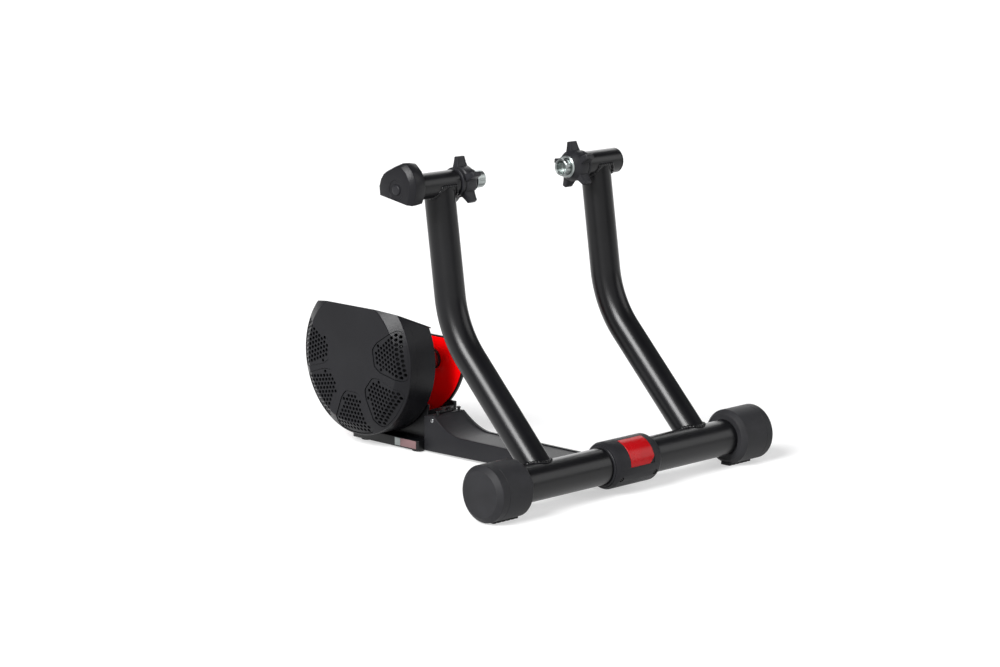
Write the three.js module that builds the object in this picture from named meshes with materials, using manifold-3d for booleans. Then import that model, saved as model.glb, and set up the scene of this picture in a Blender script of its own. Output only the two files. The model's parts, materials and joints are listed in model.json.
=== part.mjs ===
// Folding wheel-on bike trainer: a round crossbar with rubber feet carries two bent uprights that grip
// a rear axle, and a base beam clamped round the crossbar carries the roller and its resistance drum.
// Millimetres, +Z up, +X to the right foot, +Y back towards the roller.
import * as THREE from 'three';
import { mergeVertices } from 'three/addons/utils/BufferGeometryUtils.js';
import Module from 'manifold-3d';

const wasm = await Module();
wasm.setup();

// Driving dimensions. Heights are over the floor, and Y places are counted from the crossbar's axis.
const seatGap = 0.3;
const runningGap = 0.4;
const overrun = 6;

const bar = { radius: 24, wall: 2.5, halfLength: 244 };
const foot = {
  radius: 36.8, grip: 46.4, standOut: 16.9, capLength: 17, chamferLength: 6, chamferDepth: 7,
  innerChamfer: 2.5, spigotLength: 12, spigotWall: 4,
};
const footPad = { lead: 21.4, length: 50, halfWidth: 11, drop: 2, seatDepth: 2 };
const upright = {
  offset: 146, radius: 20.2, wall: 2.2, bendRadius: 140, elbowY: 163.8, elbowRise: 169.2, topSetBack: 3.3,
  topDrop: 6,
};
const axle = { y: 186.5, height: 396 };
const axleTube = {
  radius: 16.7, wall: 3.2, leftOutward: 66, leftInward: 20.8, rightInward: 28.7, rightOutward: 32.7,
};
const tubePlug = { flange: 2, depth: 14, wall: 3 };

const sleeve = {
  end: 74.8, radius: 11.4, cupRadius: 8.6, cupDepth: 12, webLength: 4, slotWidth: 2.4, slotDepth: 1.6,
};
const star = {
  leftStand: 1.3, rightStand: 0.9, innerReach: 16.5, outerReach: 13.9, hubRadius: 20.5, ringRadius: 18.4,
  noseRadius: 13.8, ringLength: 6, hubHalfLength: 8.5, bladeCount: 5, bladeTip: 32.6, bladeRoot: 15,
  bladeRootLength: 19, bladeTipLength: 15.4, bladeRootThickness: 10, bladeTipThickness: 5.2,
  leftLead: 95, rightLead: 100.5,
};
const starInsert = { outerRadius: 13, flangeRadius: 15.2, flange: 1.6, length: 15 };
const rod = { tipRadius: 6.6, leftReach: 27, rightReach: 20, shoulderGap: 0.6, endInset: 3 };
const knob = {
  radius: 31.5, stand: 13, overlap: 12.4, faceBevel: 4, faceShare: 0.9, backShare: 0.93, backBevel: 1.6,
  backEdgeShare: 0.87, dimpleRadius: 13, dimpleDepth: 0.9,
};
const knobCap = { radius: 7, depth: 4, stand: 1.2 };

const collar = { radius: 31, faceRadius: 28, halfLength: 42, chamferLength: 5, splitDegrees: -48 };
const liner = { wall: 2.5, depth: 7, stand: 2.2 };
const badge = {
  left: -18, right: 26, lowDegrees: -1, highDegrees: 79, spareDegrees: 1, thickness: 1.2, recess: 0.9,
};
const hingeScrew = {
  offset: 31.7, degrees: -29.3, radius: 2.3, length: 4.8, socketRadius: 1.3, socketDepth: 2,
};
const beam = {
  halfWidth: 30, deckHeight: 30, crestHeight: 53, rearHeight: 51, rampLength: 71.7, kneeLength: 47.7,
  crestLength: 17.7, rearLead: 88.9, undersideRear: 2.5, undersideFront: 7.8, front: 14,
};
const tongue = { halfWidth: 22, length: 42, height: 5.4 };
const basePlate = { halfWidth: 40, length: 128.3, top: 16.7, underside: 2.5 };
const basePad = { radius: 9, inset: 13, offset: 28, seatDepth: 0.8 };
const label = { inset: 5.3, length: 42, bottom: 4.6, top: 15.4, thickness: 0.7 };
const rampBolt = {
  offset: 20, inset: 16.7, radius: 2.1, stand: 6, depth: 14, headRadius: 2.9, headHeight: 2,
};
const rampClip = { halfLength: 13, inset: 13.7, depth: 6, height: 5 };
const sideScrew = { inset: 15.8, drop: 7, radius: 2.6, depth: 6, stand: 0.5 };

const drum = {
  y: 430.6, radius: 106.5, wall: 3, face: -82, rim: -70, faceRadius: 89, split: -58, innerEnd: -24,
  topRise: 71.7, topSlope: 0.37,
};
const drumLid = { thickness: 1.6, lip: 2.6 };
const vent = {
  count: 5, firstDegrees: 10, stepDegrees: -50, innerRadius: 48, outerRadius: 101, innerHalfDegrees: 16,
  outerHalfDegrees: 19.5, rowCount: 4, firstColumnCount: 3, holeShare: 0.24, relief: 0.9, padMargin: 2,
};
const sidePlate = { thickness: 4, topClearance: 3 };
const rollerPlate = {
  lead: 3.6, rise: 14, radius: 106.4, topRise: 26.3, face: 28, thickness: 5, legLength: 98.3, legRise: 45.3,
};
const redPanel = { thickness: 1, rim: 1.9, leftTopRise: 26.5 };
const roller = { lead: 49.1, drop: 6.8, radius: 13.5, leftGap: 3.6, rightGap: 4.8, chamfer: 1 };
const rollerRing = { radius: 13.9, length: 2.8 };
const shaft = { radius: 6, leftStand: 2, endGap: 0.8 };
const bearing = { outerRadius: 13 };
const bearingCap = { radius: 22, length: 13, wall: 2.5 };
const flywheel = { radius: 50, faceGap: 14, thickness: 14, hubRadius: 15, hubLength: 5 };
const brakeRing = { outerRadius: 40, innerRadius: 21, length: 12 };
const board = {
  setBack: 47.4, drop: 5.5, halfWidth: 22, halfHeight: 34, thickness: 2, postRadius: 3.2, postLength: 7,
  postSpread: 15,
};
const yoke = { thickness: 3.2, wallRise: 37.3, length: 120.3, sideGap: 2 };

const barHeight = foot.radius + footPad.drop;

// Places that follow those sizes: along the crossbar, along the axle, then the resistance unit.
const footInner = bar.halfLength - foot.grip;
const footOuter = bar.halfLength + foot.standOut;
const tubeSpan = {
  leftOuter: upright.offset + axleTube.leftOutward,
  leftInner: upright.offset - axleTube.leftInward,
  rightInner: upright.offset - axleTube.rightInward,
  rightOuter: upright.offset + axleTube.rightOutward,
};
const starCentre = {
  left: tubeSpan.leftInner - star.leftStand - star.outerReach,
  right: tubeSpan.rightInner - star.rightStand - star.outerReach,
};
const knobFace = tubeSpan.leftOuter + knob.stand;
const knobBack = tubeSpan.leftOuter - knob.overlap;

const drumHeight = basePlate.top + seatGap + drum.radius;
const topAtFace = drumHeight + drum.topRise;
const beamRear = drum.y - beam.rearLead;
const rollerY = drum.y - roller.lead;
const rollerHeight = drumHeight - roller.drop;
const rollerLeft = drum.innerEnd + roller.leftGap;
const rollerRight = rollerPlate.face - roller.rightGap;
const rollerPlateY = drum.y - rollerPlate.lead;
const rollerPlateHeight = drumHeight + rollerPlate.rise;
const rollerPlateTop = drumHeight + rollerPlate.topRise;
const boardY = drum.y + board.setBack;
const boardHeight = drumHeight - board.drop;
const flywheelLeft = drum.face + flywheel.faceGap;
const flywheelRight = flywheelLeft + flywheel.thickness;
const shaftRight = rollerPlate.face + rollerPlate.thickness + seatGap + bearingCap.length - bearingCap.wall
  - shaft.endGap;

const deg = Math.PI / 180;
const fullTurn = 2 * Math.PI;
const sweepSteps = 9;
const facets = { large: 56, medium: 36, small: 20, fine: 12, hexagon: 6, hole: 4, arc: 6 };

const finish = {
  blackPaint: { color: 0x0c0c0e, roughness: 0.32, metalness: 0.35 },
  blackPlastic: { color: 0x1b1b1d, roughness: 0.62, metalness: 0 },
  darkPlastic: { color: 0x26272a, roughness: 0.55, metalness: 0 },
  rubber: { color: 0x161617, roughness: 0.85, metalness: 0 },
  red: { color: 0xc4070f, roughness: 0.3, metalness: 0 },
  zinc: { color: 0xc3c7c9, roughness: 0.28, metalness: 0.9 },
  steel: { color: 0x8f9294, roughness: 0.4, metalness: 0.9 },
  paper: { color: 0xc9aaa3, roughness: 0.6, metalness: 0 },
  green: { color: 0x1f5a35, roughness: 0.5, metalness: 0 },
};

// Solids: a closed geometry becomes a manifold for cutting and joining, and goes back at the end.
function solid(geometry) {
  const bare = geometry.clone();
  bare.deleteAttribute('normal');
  bare.deleteAttribute('uv');
  const merged = mergeVertices(bare);
  const index = merged.index.array;
  const place = merged.attributes.position.array;
  const kept = [];
  for (let i = 0; i < index.length; i += 3) {
    const [a, b, c] = [index[i], index[i + 1], index[i + 2]];
    if (a !== b && b !== c && c !== a) kept.push(a, b, c);
  }
  return new wasm.Manifold(new wasm.Mesh({
    numProp: 3,
    vertProperties: Float32Array.from(place),
    triVerts: Uint32Array.from(kept),
  }));
}

function geometryOf(manifold) {
  const mesh = manifold.getMesh();
  const geometry = new THREE.BufferGeometry();
  geometry.setAttribute('position', new THREE.BufferAttribute(Float32Array.from(mesh.vertProperties), 3));
  geometry.setIndex(Array.from(mesh.triVerts));
  geometry.computeVertexNormals();
  return geometry;
}

function cut(body, ...tools) {
  return tools.reduce((rest, tool) => rest.subtract(tool), body);
}

function join(body, ...others) {
  return others.reduce((sum, other) => sum.add(other), body);
}

function block(x0, x1, y0, y1, z0, z1) {
  const box = new THREE.BoxGeometry(x1 - x0, y1 - y0, z1 - z0);
  return solid(box.translate((x0 + x1) / 2, (y0 + y1) / 2, (z0 + z1) / 2));
}

// A profile of [radius, x] pairs turned about the line parallel to X through (y, z).
function turned(profile, y, z, steps) {
  const points = profile.map(([radius, x]) => new THREE.Vector2(radius, x));
  const first = points[0];
  const last = points[points.length - 1];
  if (first.x > 0 || last.x > 0) points.push(first.clone());
  const lathe = new THREE.LatheGeometry(points, steps);
  const body = solid(lathe.rotateZ(-Math.PI / 2).translate(0, y, z));
  return body.volume() < 0 ? solid(flipped(lathe)) : body;
}

function flipped(geometry) {
  const index = Array.from(geometry.index.array);
  for (let i = 0; i < index.length; i += 3) [index[i], index[i + 1]] = [index[i + 1], index[i]];
  return geometry.setIndex(index);
}

// Straight round pieces along X, and rings with a bore.
function roundBar(radius, x0, x1, y, z, steps) {
  return turned([[0, x0], [radius, x0], [radius, x1], [0, x1]], y, z, steps);
}

function ring(outer, inner, x0, x1, y, z, steps) {
  return cut(roundBar(outer, x0, x1, y, z, steps), roundBar(inner, x0 - overrun, x1 + overrun, y, z, steps));
}

// Round stock about the crossbar, the bicycle's axle, the roller, the drum and the roller plate.
function onBar(radius, x0, x1, steps = facets.medium) {
  return roundBar(radius, x0, x1, 0, barHeight, steps);
}

function onAxle(radius, x0, x1, steps = facets.small) {
  return roundBar(radius, x0, x1, axle.y, axle.height, steps);
}

function onRoller(radius, x0, x1, steps = facets.small) {
  return roundBar(radius, x0, x1, rollerY, rollerHeight, steps);
}

function onDrum(radius, x0, x1) {
  return roundBar(radius, x0, x1, drum.y, drumHeight, facets.large);
}

function onRollerPlate(radius, x0, x1) {
  return roundBar(radius, x0, x1, rollerPlateY, rollerPlateHeight, facets.large);
}

function uprightPin(radius, x, y, z0, z1, steps) {
  const pin = new THREE.CylinderGeometry(radius, radius, z1 - z0, steps);
  return solid(pin.rotateX(Math.PI / 2).translate(x, y, (z0 + z1) / 2));
}

// A shape drawn in (Y, Z) and pushed along X from x0 to x1.
const pushAlongX = new THREE.Matrix4().makeBasis(
  new THREE.Vector3(0, 1, 0), new THREE.Vector3(0, 0, 1), new THREE.Vector3(1, 0, 0),
);

function pushed(shape, x0, x1, curveSegments) {
  const body = new THREE.ExtrudeGeometry(shape, { depth: x1 - x0, bevelEnabled: false, curveSegments });
  return solid(body.applyMatrix4(pushAlongX).translate(x0, 0, 0));
}

function sector(inner, outer, lowAngle, highAngle) {
  const shape = new THREE.Shape();
  shape.absarc(0, 0, outer, lowAngle, highAngle, false);
  shape.absarc(0, 0, inner, highAngle, lowAngle, true);
  shape.closePath();
  return shape;
}

// Sections of equal point count, each [x, points in (y, z)], skinned into one closed body.
function skinned(sections) {
  const count = sections[0][1].length;
  const place = [];
  for (const [x, points] of sections) {
    for (const point of points) place.push(x, point.x, point.y);
  }
  const centreOf = ([x, points]) => {
    const sum = points.reduce((total, point) => total.add(point), new THREE.Vector2());
    sum.divideScalar(count);
    return [x, sum.x, sum.y];
  };
  const first = sections.length * count;
  const last = first + 1;
  place.push(...centreOf(sections[0]), ...centreOf(sections[sections.length - 1]));
  const index = [];
  for (let i = 0; i < count; i += 1) {
    const next = (i + 1) % count;
    const end = (sections.length - 1) * count;
    index.push(first, next, i, last, end + i, end + next);
    for (let level = 0; level < sections.length - 1; level += 1) {
      const low = level * count;
      const high = low + count;
      index.push(low + i, low + next, high + next, low + i, high + next, high + i);
    }
  }
  const geometry = new THREE.BufferGeometry();
  geometry.setAttribute('position', new THREE.BufferAttribute(new Float32Array(place), 3));
  geometry.setIndex(index);
  const body = solid(geometry);
  return body.volume() < 0 ? solid(flipped(geometry)) : body;
}

// Everything below the sloping top of the drum, lowered by drop, as one wedge of stock.
function underDrumTop(drop) {
  const reach = drum.radius + overrun;
  const x0 = drum.face - overrun;
  const x1 = -drum.innerEnd;
  const topAt = (x) => topAtFace - drum.topSlope * (x - drum.face) - drop;
  const shape = new THREE.Shape();
  shape.moveTo(x0, drumHeight - reach);
  shape.lineTo(x1, drumHeight - reach);
  shape.lineTo(x1, topAt(x1));
  shape.lineTo(x0, topAt(x0));
  shape.closePath();
  const stock = new THREE.ExtrudeGeometry(shape, { depth: 2 * reach, bevelEnabled: false });
  return solid(stock.rotateX(Math.PI / 2).translate(0, drum.y + reach, 0));
}

// The uprights' centre line: straight, one round bend, straight.
class ElbowCurve extends THREE.Curve {
  constructor(start, corner, end, bendRadius) {
    super();
    const inward = corner.clone().sub(start).normalize();
    const outward = end.clone().sub(corner).normalize();
    const bend = inward.angleTo(outward);
    const setBack = bendRadius * Math.tan(bend / 2);
    const across = outward.clone().addScaledVector(inward, -inward.dot(outward)).normalize();
    this.start = start;
    this.inward = inward;
    this.outward = outward;
    this.across = across;
    this.bend = bend;
    this.bendRadius = bendRadius;
    this.firstRun = corner.distanceTo(start) - setBack;
    this.lastRun = end.distanceTo(corner) - setBack;
  }

  // Equal shares are steps of the sweep: one for each straight run and the rest for the bend.
  getUtoTmapping(share) {
    return share;
  }

  getPoint(share, target = new THREE.Vector3()) {
    const step = share * sweepSteps;
    const firstShare = Math.min(step, 1);
    const bendShare = Math.min(Math.max((step - 1) / (sweepSteps - 2), 0), 1);
    const lastShare = Math.max(step - (sweepSteps - 1), 0);
    const angle = bendShare * this.bend;
    target.copy(this.start).addScaledVector(this.inward, firstShare * this.firstRun);
    target.addScaledVector(this.inward, this.bendRadius * Math.sin(angle));
    target.addScaledVector(this.across, this.bendRadius * (1 - Math.cos(angle)));
    return target.addScaledVector(this.outward, lastShare * this.lastRun);
  }
}

function swept(curve, radius, sides) {
  const section = new THREE.Shape().absarc(0, 0, radius, 0, fullTurn, false);
  const options = { steps: sweepSteps, extrudePath: curve, bevelEnabled: false, curveSegments: sides / 2 };
  const tube = new THREE.ExtrudeGeometry(section, options);
  const body = solid(tube);
  return body.volume() < 0 ? solid(flipped(new THREE.BufferGeometry().copy(indexed(tube)))) : body;
}

function indexed(geometry) {
  const bare = geometry.clone();
  bare.deleteAttribute('normal');
  bare.deleteAttribute('uv');
  return mergeVertices(bare);
}

// Frame that swings: crossbar, feet, uprights and axle tubes.
function makeCrossbar() {
  const { radius, wall, halfLength } = bar;
  return ring(radius, radius - wall, -halfLength, halfLength, 0, barHeight, facets.medium);
}

// A foot's outer shape on the right, x from the inner end outwards.
function footStock() {
  const { radius, chamferLength, chamferDepth, innerChamfer } = foot;
  return turned([
    [0, footInner], [radius - innerChamfer, footInner], [radius, footInner + innerChamfer],
    [radius, footOuter - chamferLength], [radius - chamferDepth, footOuter], [0, footOuter],
  ], 0, barHeight, facets.medium);
}

function padSeat(grow) {
  const half = footPad.length / 2 + grow;
  const top = footPad.drop + footPad.seatDepth + grow;
  const width = footPad.halfWidth + grow;
  const centre = footInner + footPad.lead;
  return block(centre - half, centre + half, -width, width, grow > 0 ? -overrun : 0, top);
}

function makeFoot(side) {
  const capStart = footOuter - foot.capLength;
  const bore = onBar(bar.radius + seatGap, footInner - overrun, footOuter);
  const beyond = block(capStart, footOuter + overrun, -foot.radius, foot.radius, 0, 2 * barHeight);
  return mirroredTo(side, cut(footStock(), bore, beyond, padSeat(seatGap)));
}

function makeFootCap(side) {
  const capStart = footOuter - foot.capLength + seatGap;
  const before = block(footInner - overrun, capStart, -foot.radius, foot.radius, 0, 2 * barHeight);
  const spigotRadius = bar.radius - bar.wall - seatGap;
  const spigotStart = bar.halfLength - foot.spigotLength;
  const spigot = onBar(spigotRadius, spigotStart, capStart + overrun, facets.small);
  const hollow = onBar(spigotRadius - foot.spigotWall, spigotStart - overrun, capStart, facets.small);
  const barEnd = ring(
    bar.radius + seatGap, spigotRadius, capStart - overrun, bar.halfLength + seatGap, 0, barHeight,
    facets.medium,
  );
  const shell = cut(footStock(), before, barEnd, padSeat(seatGap));
  return mirroredTo(side, cut(join(shell, spigot), hollow));
}

function makeFootPad(side) {
  return mirroredTo(side, padSeat(0));
}

function mirroredTo(side, manifold) {
  return side > 0 ? manifold : manifold.mirror([1, 0, 0]);
}

function makeUpright(side) {
  const x = side * upright.offset;
  const start = new THREE.Vector3(x, 0, barHeight);
  const corner = new THREE.Vector3(x, upright.elbowY, barHeight + upright.elbowRise);
  const end = new THREE.Vector3(x, axle.y + upright.topSetBack, axle.height - upright.topDrop);
  const line = new ElbowCurve(start, corner, end, upright.bendRadius);
  const bore = upright.radius - upright.wall;
  const tube = cut(swept(line, upright.radius, facets.small), swept(line, bore, facets.small));
  const reach = upright.radius + overrun;
  const barTool = onBar(bar.radius + seatGap, x - reach, x + reach);
  const tubeTool = onAxle(axleTube.radius + seatGap, x - reach, x + reach, facets.medium);
  return cut(tube, barTool, tubeTool);
}

function axleTubeSpan(side) {
  if (side > 0) return [tubeSpan.rightInner, tubeSpan.rightOuter];
  return [-tubeSpan.leftOuter, -tubeSpan.leftInner];
}

function makeAxleTube(side) {
  const [x0, x1] = axleTubeSpan(side);
  return ring(axleTube.radius, axleTube.radius - axleTube.wall, x0, x1, axle.y, axle.height, facets.medium);
}

function makeTubePlug() {
  const bore = axleTube.radius - axleTube.wall - seatGap;
  const face = tubeSpan.rightOuter + seatGap;
  return turned([
    [0, face - tubePlug.depth], [bore, face - tubePlug.depth], [bore, face],
    [axleTube.radius, face], [axleTube.radius - tubePlug.flange / 2, face + tubePlug.flange],
    [0, face + tubePlug.flange],
  ], axle.y, axle.height, facets.small);
}

// Axle grip: sleeves that take the skewer's ends, star nuts that set them and the cam knob's push rod.
function rodStock(shoulder, farEnd, side) {
  const body = axleTube.radius - axleTube.wall - runningGap;
  const tip = shoulder - (side > 0 ? rod.rightReach : rod.leftReach);
  return mirroredTo(side, turned([
    [0, tip], [rod.tipRadius, tip], [rod.tipRadius, shoulder], [body, shoulder], [body, farEnd], [0, farEnd],
  ], axle.y, axle.height, facets.small));
}

function makePushRod() {
  return rodStock(tubeSpan.leftInner + rod.shoulderGap, tubeSpan.leftOuter - rod.endInset, -1);
}

function makeFixedStud() {
  const farEnd = tubeSpan.rightOuter - tubePlug.depth;
  return rodStock(tubeSpan.rightInner + rod.shoulderGap, farEnd, 1);
}

function sleeveRear(side) {
  const outer = side > 0 ? starCentre.right + star.outerReach : starCentre.left + star.outerReach;
  return outer - star.ringLength / 2;
}

function makeSleeve(side) {
  const { end, radius, cupRadius, cupDepth, webLength, slotWidth, slotDepth } = sleeve;
  const rear = sleeveRear(side);
  const stock = turned([
    [0, end + cupDepth], [cupRadius, end + cupDepth], [cupRadius, end], [radius, end], [radius, rear],
    [rod.tipRadius + runningGap, rear], [rod.tipRadius + runningGap, end + cupDepth + webLength],
    [0, end + cupDepth + webLength],
  ], axle.y, axle.height, facets.small);
  const tool = block(
    end - overrun, end + cupDepth, axle.y - radius - overrun, axle.y - radius + slotDepth,
    axle.height - slotWidth / 2, axle.height + slotWidth / 2,
  );
  return mirroredTo(side, cut(stock, tool));
}

function bladeStock(lead) {
  const profileAt = (radius, length, thickness) => [
    [-length / 2, -thickness / 2], [length / 2, -thickness / 2],
    [length / 2, thickness / 2], [-length / 2, thickness / 2],
  ].map(([along, across]) => [along, across, radius]);
  const root = profileAt(star.bladeRoot, star.bladeRootLength, star.bladeRootThickness);
  const tip = profileAt(star.bladeTip, star.bladeTipLength, star.bladeTipThickness);
  const place = [...root, ...tip].flat();
  const index = [0, 2, 1, 0, 3, 2, 4, 5, 6, 4, 6, 7];
  for (let i = 0; i < 4; i += 1) {
    const next = (i + 1) % 4;
    index.push(i, next, next + 4, i, next + 4, i + 4);
  }
  const geometry = new THREE.BufferGeometry();
  geometry.setAttribute('position', new THREE.BufferAttribute(new Float32Array(place), 3));
  geometry.setIndex(index);
  return solid(geometry.rotateX(lead));
}

// Blade angles are counted from the front, rising; a turn about X brings +Z round to that angle.
function makeStarNut(side) {
  const centre = side > 0 ? starCentre.right : starCentre.left;
  const lead = side > 0 ? star.rightLead : star.leftLead;
  const { hubHalfLength, innerReach, outerReach, hubRadius, ringRadius, noseRadius, ringLength } = star;
  const groove = ringRadius - seatGap;
  let nut = turned([
    [0, centre - innerReach], [noseRadius, centre - innerReach], [hubRadius, centre - hubHalfLength],
    [hubRadius, centre + hubHalfLength - ringLength / 2], [groove, centre + hubHalfLength],
    [ringRadius, centre + outerReach - ringLength / 2], [ringRadius, centre + outerReach],
    [0, centre + outerReach],
  ], axle.y, axle.height, facets.small);
  for (let i = 0; i < star.bladeCount; i += 1) {
    const angle = (90 - lead) * deg + (i * fullTurn) / star.bladeCount;
    nut = join(nut, bladeStock(angle).translate([centre, axle.y, axle.height]));
  }
  const x0 = centre - innerReach - overrun;
  const bore = onAxle(
    sleeve.radius + runningGap, x0, centre + outerReach + overrun,
  );
  const insertSeat = roundBar(
    starInsert.outerRadius + seatGap, x0, centre - innerReach + starInsert.length + seatGap,
    axle.y, axle.height, facets.small,
  );
  return mirroredTo(side, cut(nut, bore, insertSeat));
}

function makeStarInsert(side) {
  const centre = side > 0 ? starCentre.right : starCentre.left;
  const nose = centre - star.innerReach;
  const { outerRadius, flangeRadius, flange, length } = starInsert;
  const bore = sleeve.radius + runningGap;
  return mirroredTo(side, turned([
    [bore, nose - flange - seatGap], [flangeRadius - flange, nose - flange - seatGap],
    [flangeRadius, nose - flange], [flangeRadius, nose - seatGap], [outerRadius, nose - seatGap],
    [outerRadius, nose + length], [bore, nose + length],
  ], axle.y, axle.height, facets.small));
}

// The knob's outline seen from the left, in shares of its radius: forward, then up.
const knobOutlineShares = [
  [-0.94, -0.295], [-0.984, 0.114], [-0.873, 0.451], [-0.692, 0.689], [-0.219, 0.917], [0.248, 1.1],
  [0.508, 1.048], [0.768, 0.825], [0.952, 0.508], [1, 0.159], [0.937, -0.19], [0.762, -0.521],
];

function knobSection(x, share) {
  const points = knobOutlineShares.map(([forward, up]) => new THREE.Vector2(
    axle.y - forward * knob.radius * share,
    axle.height + up * knob.radius * share,
  ));
  return [x, points];
}

function makeCamKnob() {
  const body = skinned([
    knobSection(-knobFace, knob.faceShare), knobSection(-knobFace + knob.faceBevel, 1),
    knobSection(-knobBack - knob.backBevel, knob.backShare), knobSection(-knobBack, knob.backEdgeShare),
  ]);
  const bore = onAxle(
    axleTube.radius + runningGap, -tubeSpan.leftOuter - rod.shoulderGap, -knobBack + overrun,
  );
  const dimple = onAxle(
    knob.dimpleRadius, -knobFace - overrun, -knobFace + knob.dimpleDepth,
  );
  const capSeat = onAxle(
    knobCap.radius + seatGap, -knobFace - overrun, -knobFace + knobCap.depth + seatGap,
  );
  return cut(body, bore, dimple, capSeat);
}

function makeKnobCap() {
  const x0 = -knobFace - knobCap.stand;
  return turned([
    [0, x0], [knobCap.radius - knobCap.stand, x0], [knobCap.radius, x0 + knobCap.stand],
    [knobCap.radius, -knobFace + knobCap.depth], [0, -knobFace + knobCap.depth],
  ], axle.y, axle.height, facets.small);
}

// Base: the collar round the crossbar, the beam behind it and the plate under the roller unit.
function collarStock() {
  const { radius, faceRadius, halfLength, chamferLength } = collar;
  const outside = turned([
    [0, -halfLength], [faceRadius, -halfLength], [radius, -halfLength + chamferLength],
    [radius, halfLength - chamferLength], [faceRadius, halfLength], [0, halfLength],
  ], 0, barHeight, facets.medium);
  return cut(outside, ...collarTools());
}

function collarTools() {
  const reach = collar.halfLength + overrun;
  const seat = bar.radius + runningGap + liner.wall + seatGap;
  const depth = collar.halfLength - liner.depth - seatGap;
  return [
    onBar(bar.radius + runningGap, -reach, reach),
    onBar(seat, depth, reach),
    onBar(seat, -reach, -depth),
  ];
}

// Half of the space round the crossbar's axis, on the upper front side of the split or the other one.
function splitSide(upperFront) {
  const reach = 2 * collar.halfLength;
  const low = upperFront ? seatGap / 2 : -reach;
  const high = upperFront ? reach : -seatGap / 2;
  const half = block(-reach, reach, -reach, reach, low, high);
  const tilt = -collar.splitDegrees;
  return half.rotate([tilt, 0, 0]).translate([0, 0, barHeight]);
}

function makeHingeCap() {
  const seatRadius = collar.radius - badge.recess;
  const recess = pushed(
    sector(
      seatRadius, collar.radius + overrun, (180 - badge.highDegrees - badge.spareDegrees) * deg,
      (180 - badge.lowDegrees + badge.spareDegrees) * deg,
    ),
    badge.left - seatGap, badge.right + seatGap, facets.arc,
  ).translate([0, 0, barHeight]);
  const holes = [-1, 1].map((side) => screwStock(side, hingeScrew.radius + seatGap, -seatGap, overrun));
  return cut(collarStock().intersect(splitSide(true)), recess, ...holes);
}

function makeBadge() {
  const inner = collar.radius - badge.recess + seatGap;
  return pushed(
    sector(inner, inner + badge.thickness, (180 - badge.highDegrees) * deg, (180 - badge.lowDegrees) * deg),
    badge.left, badge.right, facets.arc,
  ).translate([0, 0, barHeight]);
}

// A screw pointing at the crossbar's axis from the front, at its own angle.
function screwStock(side, radius, rootTrim, headReach) {
  const root = collar.radius - hingeScrew.length + rootTrim;
  const head = collar.radius + headReach;
  const pin = new THREE.CylinderGeometry(radius, radius, head - root, facets.fine);
  pin.translate(0, (root + head) / 2, 0).rotateX(Math.PI - hingeScrew.degrees * deg);
  return solid(pin.translate(side * hingeScrew.offset, 0, barHeight));
}

function makeHingeScrew(side) {
  const { socketRadius, length, socketDepth } = hingeScrew;
  const socket = screwStock(side, socketRadius, length - socketDepth, overrun);
  return cut(screwStock(side, hingeScrew.radius, 0, 0), socket);
}

function makeHingeLiner(side) {
  const inner = bar.radius + runningGap;
  const start = collar.halfLength - liner.depth;
  return mirroredTo(side, ring(
    inner + liner.wall, inner, start, collar.halfLength + liner.stand, 0, barHeight, facets.medium,
  ));
}

function makeBaseBeam() {
  const shape = new THREE.Shape();
  shape.moveTo(beam.front, beam.undersideFront);
  shape.lineTo(beamRear, beam.undersideRear);
  shape.lineTo(beamRear, beam.rearHeight);
  shape.lineTo(beamRear - beam.crestLength, beam.crestHeight);
  shape.quadraticCurveTo(
    beamRear - beam.kneeLength, beam.deckHeight, beamRear - beam.rampLength, beam.deckHeight,
  );
  shape.lineTo(beam.front, beam.deckHeight);
  shape.closePath();
  const body = pushed(shape, -beam.halfWidth, beam.halfWidth, facets.arc);
  const reach = 2 * collar.halfLength;
  const behind = block(-reach, reach, collar.radius, beamRear + overrun, 0, reach);
  const rearHalf = join(splitSide(false), behind);
  const frontBore = onBar(bar.radius + runningGap, -reach, reach);
  const tongueSeat = block(
    -tongue.halfWidth - seatGap, tongue.halfWidth + seatGap, beamRear - tongue.length - seatGap,
    beamRear + overrun, -overrun, basePlate.underside + tongue.height + seatGap,
  );
  const boltHoles = [-1, 1].map((side) => uprightPin(
    rampBolt.radius + seatGap, side * rampBolt.offset, beamRear - rampBolt.inset,
    beam.crestHeight - rampBolt.depth - seatGap, beam.crestHeight + overrun, facets.fine,
  ));
  const sideHoles = [-1, 1].map((side) => sideScrewStock(side, sideScrew.radius + seatGap, seatGap));
  const joined = join(body.intersect(rearHalf), collarStock().intersect(splitSide(false)));
  return cut(joined, frontBore, ...collarTools().slice(1), tongueSeat, ...boltHoles, ...sideHoles);
}

function sideScrewStock(side, radius, grow) {
  const inner = beam.halfWidth - sideScrew.depth - grow;
  const outer = beam.halfWidth + sideScrew.stand + (grow > 0 ? overrun : 0);
  const y = beamRear - sideScrew.inset;
  return mirroredTo(side, roundBar(radius, inner, outer, y, beam.crestHeight - sideScrew.drop, facets.fine));
}

function makeRampBolt(side) {
  const x = side * rampBolt.offset;
  const top = beam.crestHeight + rampBolt.stand;
  const { radius, depth, headRadius, headHeight } = rampBolt;
  const y = beamRear - rampBolt.inset;
  const shank = uprightPin(radius, x, y, beam.crestHeight - depth, top, facets.fine);
  const head = uprightPin(headRadius, x, y, top - headHeight, top, facets.hexagon);
  return join(shank, head);
}

function makeRampClip() {
  const front = beamRear - rampClip.inset;
  const low = beam.crestHeight + seatGap;
  return block(
    -rampClip.halfLength, rampClip.halfLength, front, front + rampClip.depth, low, low + rampClip.height,
  );
}

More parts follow.
